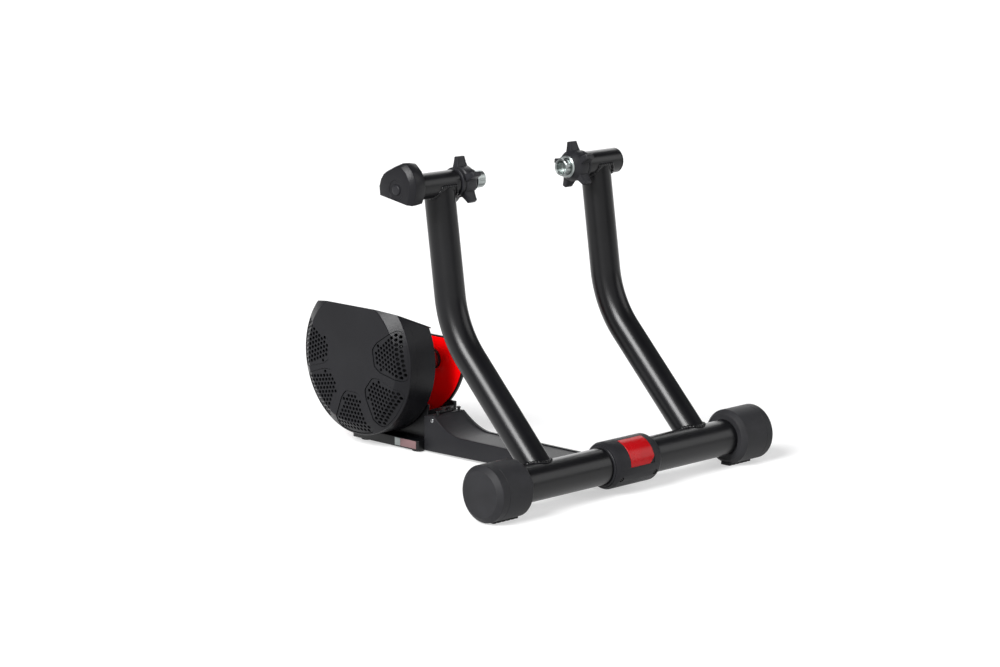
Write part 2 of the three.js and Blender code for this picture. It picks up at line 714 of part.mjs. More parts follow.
function makeBasePlate() {
  const front = beamRear + seatGap;
  const plate = block(
    -basePlate.halfWidth, basePlate.halfWidth, front, beamRear + basePlate.length, basePlate.underside,
    basePlate.top,
  );
  const tab = block(
    -tongue.halfWidth, tongue.halfWidth, beamRear - tongue.length, front + overrun,
    basePlate.underside, basePlate.underside + tongue.height,
  );
  const labelSeat = block(
    -basePlate.halfWidth - overrun, -basePlate.halfWidth + label.thickness, beamRear + label.inset - seatGap,
    beamRear + label.inset + label.length + seatGap, label.bottom - seatGap, label.top + seatGap,
  );
  const padSeats = padPlaces().map(([x, y]) => uprightPin(
    basePad.radius + seatGap, x, y, -overrun, basePlate.underside + basePad.seatDepth + seatGap,
    facets.small,
  ));
  return cut(join(plate, tab), labelSeat, ...padSeats);
}

function padPlaces() {
  const rear = beamRear + basePlate.length - basePad.inset;
  const front = beamRear + basePad.inset;
  return [front, rear].flatMap((y) => [[-basePad.offset, y], [basePad.offset, y]]);
}

function makeBasePad(place) {
  const [x, y] = place;
  return uprightPin(basePad.radius, x, y, 0, basePlate.underside + basePad.seatDepth, facets.small);
}

function makeLabel() {
  const x1 = -basePlate.halfWidth + label.thickness - seatGap;
  const front = beamRear + label.inset;
  return block(x1 - label.thickness, x1, front, front + label.length, label.bottom, label.top);
}

// Resistance drum on the left: one hollow D-shaped shell, parted into a vented cover and a body.
function drumOutside(drop) {
  const { radius, face, rim, faceRadius, innerEnd } = drum;
  return turned([
    [0, face], [faceRadius, face], [radius, rim], [radius, innerEnd], [0, innerEnd],
  ], drum.y, drumHeight, facets.large).intersect(underDrumTop(drop));
}

function drumInside(endX) {
  const { radius, face, rim, faceRadius, wall } = drum;
  return turned([
    [0, face + wall], [faceRadius - wall / 2, face + wall], [radius - wall, rim + wall / 2],
    [radius - wall, endX], [0, endX],
  ], drum.y, drumHeight, facets.large).intersect(underDrumTop(wall + drumLid.thickness));
}

function slab(x0, x1) {
  const reach = drum.radius + overrun;
  return block(x0, x1, drum.y - reach, drum.y + reach, drumHeight - reach, drumHeight + reach);
}

function ventCentre(i) {
  return (180 - (vent.firstDegrees + i * vent.stepDegrees)) * deg;
}

// Rows of holes across one vent, each row with one hole more than the row within it.
function ventHoles(i) {
  const middle = ventCentre(i);
  const { rowCount, firstColumnCount, innerRadius, outerRadius, innerHalfDegrees, outerHalfDegrees } = vent;
  const pitch = (outerRadius - innerRadius) / rowCount;
  const holes = [];
  for (let row = 0; row < rowCount; row += 1) {
    const radius = innerRadius + (row + 1 / 2) * pitch;
    const share = row / rowCount;
    const halfAngle = (innerHalfDegrees * (1 - share) + outerHalfDegrees * share) * deg;
    const columns = firstColumnCount + row;
    for (let column = 0; column < columns; column += 1) {
      const angle = middle + halfAngle * ((2 * column + 1) / columns - 1);
      holes.push(roundBar(
        vent.holeShare * pitch, drum.face - vent.relief - overrun, drum.rim + drum.wall + overrun,
        drum.y + radius * Math.cos(angle), drumHeight + radius * Math.sin(angle), facets.hole,
      ));
    }
  }
  return holes;
}

function ventPod(i) {
  const middle = ventCentre(i);
  const { innerRadius, innerHalfDegrees, outerHalfDegrees } = vent;
  const outerRadius = drum.faceRadius - vent.padMargin;
  const shape = new THREE.Shape();
  shape.absarc(0, 0, outerRadius, middle - outerHalfDegrees * deg, middle + outerHalfDegrees * deg, false);
  shape.absarc(0, 0, innerRadius, middle + innerHalfDegrees * deg, middle - innerHalfDegrees * deg, true);
  shape.closePath();
  const pod = pushed(shape, drum.face - vent.relief, drum.face + drum.wall / 2, facets.arc);
  return pod.translate([0, drum.y, drumHeight]);
}

function makeVentCover() {
  const shell = cut(drumOutside(0), drumInside(drum.innerEnd));
  let cover = shell.intersect(slab(drum.face - overrun, drum.split));
  const holes = [];
  for (let i = 0; i < vent.count; i += 1) {
    cover = join(cover, ventPod(i));
    holes.push(...ventHoles(i));
  }
  return cut(cover, ...holes);
}

function makeDrumShell() {
  const start = drum.split + seatGap;
  const body = drumOutside(drumLid.thickness + seatGap).intersect(slab(start, drum.innerEnd));
  return cut(body, drumInside(drum.innerEnd + overrun));
}

function makeDrumLid() {
  const start = drum.split + seatGap;
  const end = drum.innerEnd + drumLid.lip;
  const outside = turned([
    [0, start], [drum.radius, start], [drum.radius, end], [0, end],
  ], drum.y, drumHeight, facets.large).intersect(underDrumTop(0));
  return cut(outside, underDrumTop(drumLid.thickness));
}

function shaftBore(x0, x1) {
  return onRoller(shaft.radius + seatGap, x0 - overrun, x1 + overrun);
}

function bearingSeat(x0, x1) {
  return onRoller(bearing.outerRadius + seatGap, x0 - overrun, x1 + overrun);
}

function makeDrumSidePlate() {
  const end = drum.innerEnd;
  const start = end - sidePlate.thickness;
  const disc = onDrum(drum.radius - drum.wall - seatGap, start, end);
  const drop = drum.wall + drumLid.thickness + sidePlate.topClearance;
  const posts = boardPosts().map(([y, z]) => roundBar(
    board.postRadius, start - board.postLength, start + sidePlate.thickness / 2, y, z, facets.fine,
  ));
  return cut(join(disc.intersect(underDrumTop(drop)), ...posts), bearingSeat(start, end));
}

function boardPosts() {
  return [-1, 1].map((side) => [boardY, boardHeight + side * board.postSpread]);
}

function makeControlBoard() {
  const x1 = drum.innerEnd - sidePlate.thickness - board.postLength - seatGap;
  return block(
    x1 - board.thickness, x1, boardY - board.halfWidth, boardY + board.halfWidth,
    boardHeight - board.halfHeight, boardHeight + board.halfHeight,
  );
}

function makeBrakeRing() {
  const x1 = drum.innerEnd - sidePlate.thickness - seatGap;
  const { outerRadius, innerRadius, length } = brakeRing;
  return cut(
    onRoller(outerRadius, x1 - length, x1, facets.medium),
    onRoller(innerRadius, x1 - length - overrun, x1 + overrun),
  );
}

function belowHeight(x0, x1, top) {
  const reach = rollerPlate.radius + overrun;
  return block(x0, x1, rollerPlateY - reach, rollerPlateY + reach, 0, top);
}

// The tyre side's red faces, one on the drum's side plate and one on the roller plate.
function makeRedPanel(side) {
  const hole = (x0, x1) => onRoller(rollerRing.radius + seatGap, x0 - overrun, x1 + overrun);
  if (side > 0) {
    const x1 = rollerPlate.face - seatGap;
    const x0 = x1 - redPanel.thickness;
    const disc = onRollerPlate(rollerPlate.radius - redPanel.rim, x0, x1);
    return cut(disc.intersect(belowHeight(x0, x1, rollerPlateTop - redPanel.rim)), hole(x0, x1));
  }
  const x0 = drum.innerEnd + seatGap;
  const x1 = x0 + redPanel.thickness;
  const disc = onDrum(drum.radius - 2 * drum.wall, x0, x1);
  return cut(disc.intersect(belowHeight(x0, x1, drumHeight + redPanel.leftTopRise)), hole(x0, x1));
}

function makeRollerPlate() {
  const x0 = rollerPlate.face;
  const x1 = x0 + rollerPlate.thickness;
  const disc = onRollerPlate(rollerPlate.radius, x0, x1);
  const { legLength, legRise } = rollerPlate;
  const low = basePlate.top + seatGap;
  const leg = block(x0, x1, beamRear + seatGap, beamRear + legLength, low, basePlate.top + legRise);
  return cut(join(disc.intersect(belowHeight(x0, x1, rollerPlateTop)), leg), bearingSeat(x0, x1));
}

function makeYoke() {
  const low = basePlate.top + seatGap;
  const front = beamRear + seatGap;
  const right = rollerPlate.face - seatGap;
  const left = drum.innerEnd + yoke.sideGap;
  const floor = block(left, right, front, beamRear + yoke.length, low, low + yoke.thickness);
  const wall = block(left, right, front, front + yoke.thickness, low, basePlate.top + yoke.wallRise);
  return join(floor, wall);
}

function makeBearing(side) {
  const width = side > 0 ? rollerPlate.thickness : sidePlate.thickness;
  const x0 = side > 0 ? rollerPlate.face : drum.innerEnd - width;
  return cut(onRoller(bearing.outerRadius, x0, x0 + width), shaftBore(x0, x0 + width));
}

function makeBearingCap() {
  const { radius, length, wall } = bearingCap;
  const x0 = rollerPlate.face + rollerPlate.thickness + seatGap;
  return turned([
    [radius - wall, x0], [radius, x0], [radius, x0 + length - wall], [radius - wall, x0 + length],
    [0, x0 + length], [0, x0 + length - wall], [radius - wall, x0 + length - wall],
  ], rollerY, rollerHeight, facets.small);
}

// The spinning group: roller, its shaft, the flywheel in the drum and the black end ring.
function makeRoller() {
  const { radius, chamfer } = roller;
  const body = turned([
    [0, rollerLeft], [radius - chamfer, rollerLeft], [radius, rollerLeft + chamfer],
    [radius, rollerRight - chamfer], [radius - chamfer, rollerRight], [0, rollerRight],
  ], rollerY, rollerHeight, facets.medium);
  return cut(body, onRoller(shaft.radius + seatGap, rollerLeft - overrun, rollerRight + overrun));
}

function makeRollerRing() {
  const x0 = rollerRight + seatGap;
  const x1 = x0 + rollerRing.length;
  return cut(onRoller(rollerRing.radius, x0, x1), shaftBore(x0, x1));
}

function makeShaft() {
  return onRoller(shaft.radius, flywheelLeft - shaft.leftStand, shaftRight);
}

function makeFlywheel() {
  const disc = onRoller(flywheel.radius, flywheelLeft, flywheelRight, facets.medium);
  const hub = onRoller(
    flywheel.hubRadius, flywheelRight - overrun, flywheelRight + flywheel.hubLength,
  );
  const bore = onRoller(
    shaft.radius + seatGap, flywheelLeft - overrun, flywheelRight + flywheel.hubLength + overrun,
  );
  return cut(join(disc, hub), bore);
}

// Assembly: Y is counted from the crossbar until here, then from the middle of the whole trainer.
const trainer = new THREE.Group();
const standing = new THREE.Group();
standing.position.y = (foot.radius - (drum.y + drum.radius)) / 2;
trainer.add(standing);

function addPart(name, manifold, look) {
  const mesh = new THREE.Mesh(geometryOf(manifold), new THREE.MeshStandardMaterial(finish[look]));
  mesh.name = name;
  standing.add(mesh);
}

const sides = [['left', -1], ['right', 1]];

addPart('crossbar', makeCrossbar(), 'blackPaint');
for (const [word, side] of sides) {
  addPart(`foot_${word}`, makeFoot(side), 'rubber');
  addPart(`foot_cap_${word}`, makeFootCap(side), 'rubber');
  addPart(`foot_pad_${word}`, makeFootPad(side), 'rubber');
  addPart(`upright_${word}`, makeUpright(side), 'blackPaint');
  addPart(`axle_tube_${word}`, makeAxleTube(side), 'blackPaint');
  addPart(`star_nut_${word}`, makeStarNut(side), 'blackPlastic');
  addPart(`star_insert_${word}`, makeStarInsert(side), 'zinc');
  addPart(`axle_sleeve_${word}`, makeSleeve(side), 'zinc');
}
addPart('tube_plug', makeTubePlug(), 'blackPlastic');
addPart('fixed_stud', makeFixedStud(), 'steel');
addPart('push_rod', makePushRod(), 'steel');
addPart('cam_knob', makeCamKnob(), 'darkPlastic');
addPart('cam_knob_cap', makeKnobCap(), 'blackPlastic');

addPart('base_beam', makeBaseBeam(), 'darkPlastic');
addPart('hinge_cap', makeHingeCap(), 'darkPlastic');
addPart('hinge_badge', makeBadge(), 'red');
for (const [word, side] of sides) {
  addPart(`hinge_liner_${word}`, makeHingeLiner(side), 'blackPlastic');
  addPart(`hinge_screw_${word}`, makeHingeScrew(side), 'steel');
  addPart(`ramp_bolt_${word}`, makeRampBolt(side), 'steel');
  addPart(`ramp_screw_${word}`, sideScrewStock(side, sideScrew.radius, 0), 'steel');
}
addPart('ramp_clip', makeRampClip(), 'steel');
addPart('base_plate', makeBasePlate(), 'blackPaint');
padPlaces().forEach((place, i) => addPart(`base_pad_${i + 1}`, makeBasePad(place), 'rubber'));
addPart('blank_label', makeLabel(), 'paper');

addPart('vent_cover', makeVentCover(), 'darkPlastic');
addPart('drum_shell', makeDrumShell(), 'darkPlastic');
addPart('drum_lid', makeDrumLid(), 'darkPlastic');
addPart('drum_side_plate', makeDrumSidePlate(), 'blackPaint');
addPart('roller_plate', makeRollerPlate(), 'blackPaint');
addPart('yoke', makeYoke(), 'blackPaint');
for (const [word, side] of sides) {
  addPart(`red_panel_${word}`, makeRedPanel(side), 'red');
  addPart(`bearing_${word}`, makeBearing(side), 'steel');
}
addPart('bearing_cap', makeBearingCap(), 'blackPlastic');
addPart('brake_ring', makeBrakeRing(), 'steel');
addPart('control_board', makeControlBoard(), 'green');

addPart('roller', makeRoller(), 'zinc');
addPart('roller_ring', makeRollerRing(), 'blackPlastic');
addPart('roller_shaft', makeShaft(), 'steel');
addPart('flywheel', makeFlywheel(), 'steel');

export default trainer;
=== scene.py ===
import json
import math

import bpy
from mathutils import Matrix, Vector


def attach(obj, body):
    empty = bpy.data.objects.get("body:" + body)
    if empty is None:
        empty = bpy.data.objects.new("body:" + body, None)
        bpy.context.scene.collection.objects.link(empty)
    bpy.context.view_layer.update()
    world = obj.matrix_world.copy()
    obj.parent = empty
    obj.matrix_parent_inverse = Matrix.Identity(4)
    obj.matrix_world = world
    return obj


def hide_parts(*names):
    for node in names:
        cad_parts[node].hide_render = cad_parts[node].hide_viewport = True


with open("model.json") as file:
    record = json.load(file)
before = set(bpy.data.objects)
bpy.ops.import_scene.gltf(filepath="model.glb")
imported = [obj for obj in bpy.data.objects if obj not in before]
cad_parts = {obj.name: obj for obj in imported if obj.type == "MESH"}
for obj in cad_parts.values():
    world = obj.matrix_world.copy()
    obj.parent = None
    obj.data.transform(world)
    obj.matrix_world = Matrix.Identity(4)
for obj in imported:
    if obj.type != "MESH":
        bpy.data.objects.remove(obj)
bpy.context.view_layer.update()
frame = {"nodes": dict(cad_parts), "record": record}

# Sizes are in millimetres in the row frame: X to the right foot, Y back to the roller, Z up.
# Small bare numbers in a turned profile are the run and rise of one softened edge.
MM = 0.001
FIT = 0.3
OVERRUN = 5.0
SIDES = {"left": -1, "right": 1}


class Span:
    """The box of one CAD node, in millimetres; y and z are its middle and r half its depth along Y."""

    def __init__(self, name):
        obj = frame["nodes"][name]
        corners = [obj.matrix_world @ Vector(corner) for corner in obj.bound_box]
        low, high = ([pick(c[i] for c in corners) / MM for i in range(3)] for pick in (min, max))
        self.x0, self.y0, self.z0 = low
        self.x1, self.y1, self.z1 = high
        self.y, self.z = (self.y0 + self.y1) / 2, (self.z0 + self.z1) / 2
        self.r = (self.y1 - self.y0) / 2
        self.axis = (self.y, self.z)

    def outward(self, side):
        """Its two ends along X, counted outward from the middle of the trainer."""
        return (self.x0, self.x1) if side > 0 else (-self.x1, -self.x0)


BAR = Span("crossbar")
AXLE = Span("axle_tube_left")
ROLLER = Span("roller")
SHELL = Span("drum_shell")
RED = Span("red_panel_right")
DRUM = (SHELL.y, SHELL.z0 + SHELL.r)
TYRE_PLATE = (RED.y, RED.z0 + RED.r)
BEAM_END = Span("base_beam").y1


def place(x, y, z):
    return Vector((x, y, z)) * MM


# Camera: the photograph's, found by fitting the bar, feet, uprights and axle tubes.
CAMERA = {"x": -2925.3, "y": -2946.25, "z": 966.4, "heading": 45.038, "dip": 10.821, "lens": 113.605,
          "film": 36, "far": 100}


def add_camera():
    c = CAMERA
    bpy.ops.object.select_all(action="DESELECT")
    bpy.ops.object.camera_add(location=place(c["x"], c["y"], c["z"]))
    camera = bpy.context.object
    camera.rotation_euler = (math.pi / 2 - math.radians(c["dip"]), 0, -math.radians(c["heading"]))
    camera.data.sensor_width = c["film"]
    camera.data.lens = c["lens"]
    camera.data.clip_end = c["far"]
    bpy.context.scene.camera = camera


# Modelling steps.
def clear():
    if bpy.context.object and bpy.context.object.mode != "OBJECT":
        bpy.ops.object.mode_set(mode="OBJECT")
    bpy.ops.object.select_all(action="DESELECT")


def only(obj):
    clear()
    obj.select_set(True)
    bpy.context.view_layer.objects.active = obj


def edit(obj):
    only(obj)
    bpy.ops.object.mode_set(mode="EDIT")
    bpy.ops.mesh.select_all(action="SELECT")


def outline(name, points, face=True):
    """A chain of points, extruded one from the other, and filled if face is set; stays in edit mode."""
    clear()
    bpy.ops.mesh.primitive_plane_add(size=MM)
    obj = bpy.context.object
    obj.name = obj.data.name = name
    bpy.ops.object.mode_set(mode="EDIT")
    bpy.ops.mesh.merge(type="CENTER")
    bpy.ops.transform.translate(value=points[0])
    for a, b in zip(points, points[1:]):
        bpy.ops.mesh.extrude_vertices_move(TRANSFORM_OT_translate={"value": b - a})
    bpy.ops.mesh.select_all(action="SELECT")
    if face:
        bpy.ops.mesh.edge_face_add()
    return obj


def push(x=0.0, y=0.0, z=0.0):
    """Extrudes what is selected by a number of millimetres."""
    bpy.ops.mesh.extrude_region_move(TRANSFORM_OT_translate={"value": place(x, y, z)})


def tidy(obj, weld=0.002):
    edit(obj)
    bpy.ops.mesh.remove_doubles(threshold=weld * MM)
    bpy.ops.mesh.normals_make_consistent(inside=False)
    bpy.ops.object.mode_set(mode="OBJECT")
    return obj


def mend(obj, crack=0.01):
    """Closes the hair cracks that many cuts leave."""
    edit(obj)
    bpy.ops.mesh.remove_doubles(threshold=crack * MM)
    bpy.ops.mesh.dissolve_degenerate(threshold=crack * MM)
    bpy.ops.mesh.select_mode(type="EDGE")
    bpy.ops.mesh.select_all(action="DESELECT")
    bpy.ops.mesh.select_non_manifold(extend=False)
    bpy.ops.mesh.fill_holes(sides=12)
    bpy.ops.mesh.select_mode(type="VERT")
    bpy.ops.object.mode_set(mode="OBJECT")
    return obj


def spun(name, profile, centre, steps=96, start=90.0, sweep=360.0):
    """Turns (radius, x) pairs about the line along X through centre, from the angle start in (y, z)."""
    y, z = centre
    full = sweep >= 360
    a = math.radians(start)
    ring = full and (profile[0][0] > 0 or profile[-1][0] > 0)
    pairs = list(profile) + ([profile[0]] if ring else [])
    points = [place(x, y + r * math.cos(a), z + r * math.sin(a)) for r, x in pairs]
    obj = outline(name, points, face=not full)
    bpy.ops.mesh.select_all(action="SELECT")
    bpy.ops.mesh.spin(steps=steps, angle=math.radians(sweep), center=place(0, y, z), axis=(-1, 0, 0))
    return tidy(obj)


def spun_outward(name, side, profile, centre, steps):
    """Turns (radius, x) pairs whose x is counted outward from the middle of the trainer."""
    return spun(name, [(r, side * x) for r, x in profile], centre, steps)


def spun_up(name, x, y, profile, steps=40):
    """Turns (radius, z) pairs about an upright line."""
    obj = outline(name, [place(x + r, y, z) for r, z in profile], face=False)
    bpy.ops.mesh.select_all(action="SELECT")
    bpy.ops.mesh.spin(steps=steps, angle=2 * math.pi, center=place(x, y, 0), axis=(0, 0, 1))
    return tidy(obj)


def rod(name, radius, x0, x1, centre, steps):
    return spun(name, [(0, x0), (radius, x0), (radius, x1), (0, x1)], centre, steps)


def disc(name, radius, x0, x1, edge, centre, steps):
    """A rod with its right-hand edge taken off."""
    profile = [(0, x0), (radius, x0), (radius, x1 - edge), (radius - edge, x1), (0, x1)]
    return spun(name, profile, centre, steps)


def tube(name, bore, radius, x0, x1, edge, centre, steps):
    """A tube with both outer edges taken off, or a solid one if its bore is nothing."""
    profile = [(bore, x0), (radius - edge, x0), (radius, x0 + edge),
               (radius, x1 - edge), (radius - edge, x1), (bore, x1)]
    return spun(name, profile, centre, steps)


def pushed(name, points, x0, x1):
    """Pushes a filled outline of (y, z) pairs along X from x0 to x1."""
    obj = outline(name, [place(x0, y, z) for y, z in points])
    push(x=x1 - x0)
    return tidy(obj)


def box(name, x0, x1, y0, y1, z0, z1):
    return pushed(name, [(y0, z0), (y1, z0), (y1, z1), (y0, z1)], x0, x1)


def apply_last(obj):
    only(obj)
    bpy.ops.object.modifier_apply(modifier=obj.modifiers[-1].name)


def soften(obj, width, segments=3, angle=30.0):
    modifier = obj.modifiers.new("soften", "BEVEL")
    modifier.width = width * MM
    modifier.segments = segments
    modifier.limit_method = "ANGLE"
    modifier.angle_limit = math.radians(angle)
    modifier.use_clamp_overlap = True
    apply_last(obj)
    return obj


def combine(obj, *tools, how="DIFFERENCE"):
    for tool in tools:
        modifier = obj.modifiers.new("combine", "BOOLEAN")
        modifier.object = tool
        modifier.operation = how
        modifier.solver = "EXACT"
        apply_last(obj)
        bpy.data.objects.remove(tool)
    return obj


def merged(name, *parts):
    clear()
    for part in parts:
        part.select_set(True)
    bpy.context.view_layer.objects.active = parts[0]
    if len(parts) > 1:
        bpy.ops.object.join()
    parts[0].name = parts[0].data.name = name
    return parts[0]


def copied(obj, name, turn=0.0, centre=(0, 0), shift=(0, 0, 0)):
    """A copy with its own mesh, turned about the line along X through centre and then shifted."""
    only(obj)
    bpy.ops.object.duplicate()
    copy = bpy.context.object
    pivot = place(0, *centre)
    rotation = Matrix.Rotation(math.radians(turn), 4, "X")
    copy.rotation_euler = rotation.to_euler()
    copy.location = pivot - rotation @ pivot + place(*shift)
    bpy.ops.object.transform_apply(location=True, rotation=True, scale=True)
    copy.name = copy.data.name = name
    return copy


def turned(obj, name, turn, centre):
    """The same piece turned, in place of the one given."""
    copy = copied(obj, name, turn, centre)
    bpy.data.objects.remove(obj)
    return copy


def bead(name, points, radius, ripples, ripple=0.16):
    """A weld bead along a closed row of points."""
    obj = outline(name, points, face=False)
    only(obj)
    bpy.ops.object.convert(target="CURVE")
    curve = bpy.context.object
    curve.data.bevel_depth = radius * MM
    curve.data.bevel_resolution = 3
    spline = curve.data.splines[0]
    spline.use_cyclic_u = True
    count = len(spline.points)
    for i, point in enumerate(spline.points):
        point.radius = 1 + ripple * math.sin(2 * math.pi * ripples * i / count)
    bpy.ops.object.convert(target="MESH")
    made = bpy.context.object
    made.name = made.data.name = name
    return made


# Materials. Each has grain in its bump and roughness, and a little colour change, in object space.
GRAIN_DEPTH = 0.3
PATCH_EDGES = (0.32, 0.68)
NOISE_SUM = (0.6, 1.4)


def node(tree, kind, **settings):
    made = tree.nodes.new(kind)
    for key, value in settings.items():
        if key in made.inputs:
            made.inputs[key].default_value = value
        else:
            setattr(made, key, value)
    return made


def two_colours(tree, places, colours):
    """A colour ramp between two colours at two places."""
    ramp = node(tree, "ShaderNodeValToRGB")
    for element, position, colour in zip(ramp.color_ramp.elements, places, colours):
        element.position = position
        element.color = (*colour, 1)
    return ramp


def grained(name, dark, light, rough, grain, bump, metallic=0.0, patch=9.0, stretch=(1, 1, 1),
            specular=0.5):
    """A finish whose colour and roughness vary over broad patches, under a fine grain."""
    material = bpy.data.materials.new(name)
    material.use_nodes = True
    tree = material.node_tree
    link = tree.links.new
    shader = tree.nodes["Principled BSDF"]
    shader.inputs["Metallic"].default_value = metallic
    shader.inputs["Specular IOR Level"].default_value = specular
    coords = node(tree, "ShaderNodeTexCoord")
    mapping = node(tree, "ShaderNodeMapping")
    mapping.inputs["Scale"].default_value = stretch
    link(coords.outputs["Object"], mapping.inputs["Vector"])
    patches = node(tree, "ShaderNodeTexNoise", Scale=patch, Detail=3.0, Roughness=0.6)
    link(coords.outputs["Object"], patches.inputs["Vector"])
    fine = node(tree, "ShaderNodeTexNoise", Scale=grain, Detail=4.0, Roughness=0.65)
    link(mapping.outputs["Vector"], fine.inputs["Vector"])
    ramp = two_colours(tree, PATCH_EDGES, (dark, light))
    link(patches.outputs["Fac"], ramp.inputs["Fac"])
    link(ramp.outputs["Color"], shader.inputs["Base Color"])
    total = node(tree, "ShaderNodeMath", operation="ADD")
    link(patches.outputs["Fac"], total.inputs[0])
    link(fine.outputs["Fac"], total.inputs[1])
    spread = node(tree, "ShaderNodeMapRange")
    for socket, value in zip(("From Min", "From Max", "To Min", "To Max"), (*NOISE_SUM, *rough)):
        spread.inputs[socket].default_value = value
    link(total.outputs["Value"], spread.inputs["Value"])
    link(spread.outputs["Result"], shader.inputs["Roughness"])
    relief = node(tree, "ShaderNodeBump", Strength=bump, Distance=GRAIN_DEPTH * MM)
    link(fine.outputs["Fac"], relief.inputs["Height"])
    link(relief.outputs["Normal"], shader.inputs["Normal"])
    return material


def make_looks():
    brushed = {"metallic": 1.0, "stretch": (6, 1, 1), "patch": 60}
    return {
        "black_paint": grained("powder_coat", (0.002, 0.002, 0.0025), (0.004, 0.004, 0.005),
                               (0.26, 0.35), 900, 0.1, specular=0.3),
        "rubber": grained("rubber", (0.014, 0.014, 0.0155), (0.021, 0.021, 0.0235),
                          (0.5, 0.66), 1400, 0.3, specular=0.22, patch=30),
        "knob_plastic": grained("knob_plastic", (0.011, 0.011, 0.013), (0.017, 0.017, 0.02),
                                (0.34, 0.48), 1600, 0.22, specular=0.24),
        "housing_plastic": grained("housing_plastic", (0.007, 0.007, 0.0085), (0.011, 0.011, 0.013),
                                   (0.28, 0.38), 1700, 0.3, specular=0.17),
        "beam_plastic": grained("beam_plastic", (0.011, 0.011, 0.013), (0.017, 0.017, 0.019),
                                (0.42, 0.56), 1500, 0.28, specular=0.16),
        "zinc": grained("zinc_plate", (0.24, 0.26, 0.26), (0.34, 0.37, 0.36),
                        (0.26, 0.38), 700, 0.08, **brushed),
        "steel": grained("turned_steel", (0.40, 0.41, 0.42), (0.54, 0.55, 0.56),
                         (0.24, 0.4), 700, 0.12, **brushed),
        # The red panels' red is set brighter than the plastic's own, as painted light that makes up for the
        # light the drum keeps off them.
        "red_gloss": grained("red_gloss", (0.84, 0.001, 0.002), (0.92, 0.002, 0.003),
                             (0.26, 0.36), 700, 0.04, specular=0.12, patch=14),
        "badge_red": grained("badge_red", (0.34, 0.001, 0.003), (0.42, 0.002, 0.005),
                             (0.22, 0.3), 700, 0.04, specular=0.2, patch=40),
        "label_paper": grained("label_paper", (0.15, 0.085, 0.088), (0.19, 0.108, 0.11),
                               (0.5, 0.6), 2400, 0.1),
        "board_green": grained("circuit_board", (0.012, 0.07, 0.03), (0.02, 0.1, 0.04),
                               (0.35, 0.5), 1500, 0.1),
    }


LOOKS = {}


def done(obj, body, nodes, slot, smooth=38.0, look=None):
    """Shades a piece, gives it its slot's look or the look named, puts it on the empty of the body it rides
    and hides the CAD nodes that it replaces.
    """
    only(obj)
    bpy.ops.object.shade_smooth_by_angle(angle=math.radians(smooth))
    obj.data.materials.clear()
    obj.data.materials.append(LOOKS[look or slot])
    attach(obj, body)
    if nodes:
        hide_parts(*nodes)


def finish_frame_nodes():
    """Every CAD node gets its slot's finish, so that the ones that stay are finished too."""
    slots = {row["node"]: row["material_slot"] for row in frame["record"]["subparts"]}
    for name, obj in frame["nodes"].items():
        obj.data.materials.clear()
        obj.data.materials.append(LOOKS[slots[name]])


# Swinging frame: crossbar, feet, uprights and axle tubes.
UPRIGHT = {"x": 146.0, "radius": 20.2, "bend": 140.0, "elbow_y": 163.8, "elbow_rise": 169.2,
           "top_y": 189.8, "top_rise": 351.2, "root": 14.0}
WELD = {"low": 2.2, "low_ripples": 34, "high": 2.0, "high_ripples": 30}
FOOT = {"inner": 197.6, "outer": 260.9, "seam": 244.0, "radius": 36.8, "inner_face": 31.0, "face": 29.8,
        "chamfer": 5.4, "bore": 24.3, "seam_gap": 0.08, "lip": 0.25}
TREAD = {"half": 7.5, "inset": 3.5, "headroom": 0.1, "grooves": 5, "first": 5.0, "pitch": 8.0, "width": 2.0,
         "depth": 0.5}


def crossbar():
    wall, edge = 2.5, 0.6
    made = tube("crossbar_tube", BAR.r - wall, BAR.r, -BAR.x1, BAR.x1, edge, BAR.axis, 128)
    done(made, "arm_frame", ["crossbar"], "black_paint")


def foot_sleeve_profile():
    """From the foot's inner end out to the seam."""
    f = FOOT
    r, near, seam, lip = f["radius"], f["inner"], f["seam"] - f["seam_gap"], f["lip"]
    knee = near + f["chamfer"]
    return [(f["bore"], near), (f["inner_face"], near), (f["inner_face"] + 0.8, near + 0.3),
            (r - 0.7, knee), (r, knee + 1.2), (r, seam - lip), (r - lip, seam), (f["bore"], seam)]


def foot_cap_profile():
    """From the foot's outer face back to the seam."""
    f = FOOT
    r, far, seam, lip = f["radius"], f["outer"], f["seam"] + f["seam_gap"], f["lip"]
    knee = far - f["chamfer"]
    return [(0, far - 0.5), (f["face"] - 3, far), (f["face"], far), (f["face"] + 0.9, far - 0.6),
            (r - 0.5, knee), (r, knee - 1.0), (r, seam + lip), (r - lip, seam), (0, seam)]


def foot_tread(word, side):
    """The flat pad under a foot, with grooves across it."""
    t, pad = TREAD, Span(f"foot_pad_{word}")
    y0, y1 = pad.y - t["half"], pad.y + t["half"]
    low, high = sorted((side * (FOOT["inner"] + t["inset"]), side * FOOT["seam"]))
    tread = box(f"foot_tread_{word}", low, high, y0, y1, pad.z0, pad.z1)
    for i in range(t["grooves"]):
        x = low + t["first"] + t["pitch"] * i
        combine(tread, box("tool", x, x + t["width"], y0 - OVERRUN, y1 + OVERRUN, -OVERRUN, t["depth"]))
    done(soften(tread, 0.4, 2), "arm_frame", [f"foot_pad_{word}"], "rubber")


def feet():
    half = TREAD["half"] + FIT
    for word, side in SIDES.items():
        pad = Span(f"foot_pad_{word}")
        ring = spun_outward(f"foot_sleeve_{word}", side, foot_sleeve_profile(), BAR.axis, 112)
        seat = box("tool", pad.x0 - FIT, pad.x1 + FIT, pad.y - half, pad.y + half, -2 * OVERRUN,
                   pad.z1 + TREAD["headroom"])
        done(combine(ring, seat), "arm_frame", [f"foot_{word}"], "rubber", smooth=15)
        end = spun_outward(f"foot_end_{word}", side, foot_cap_profile(), BAR.axis, 112)
        done(end, "arm_frame", [f"foot_cap_{word}"], "rubber", smooth=15)
        foot_tread(word, side)


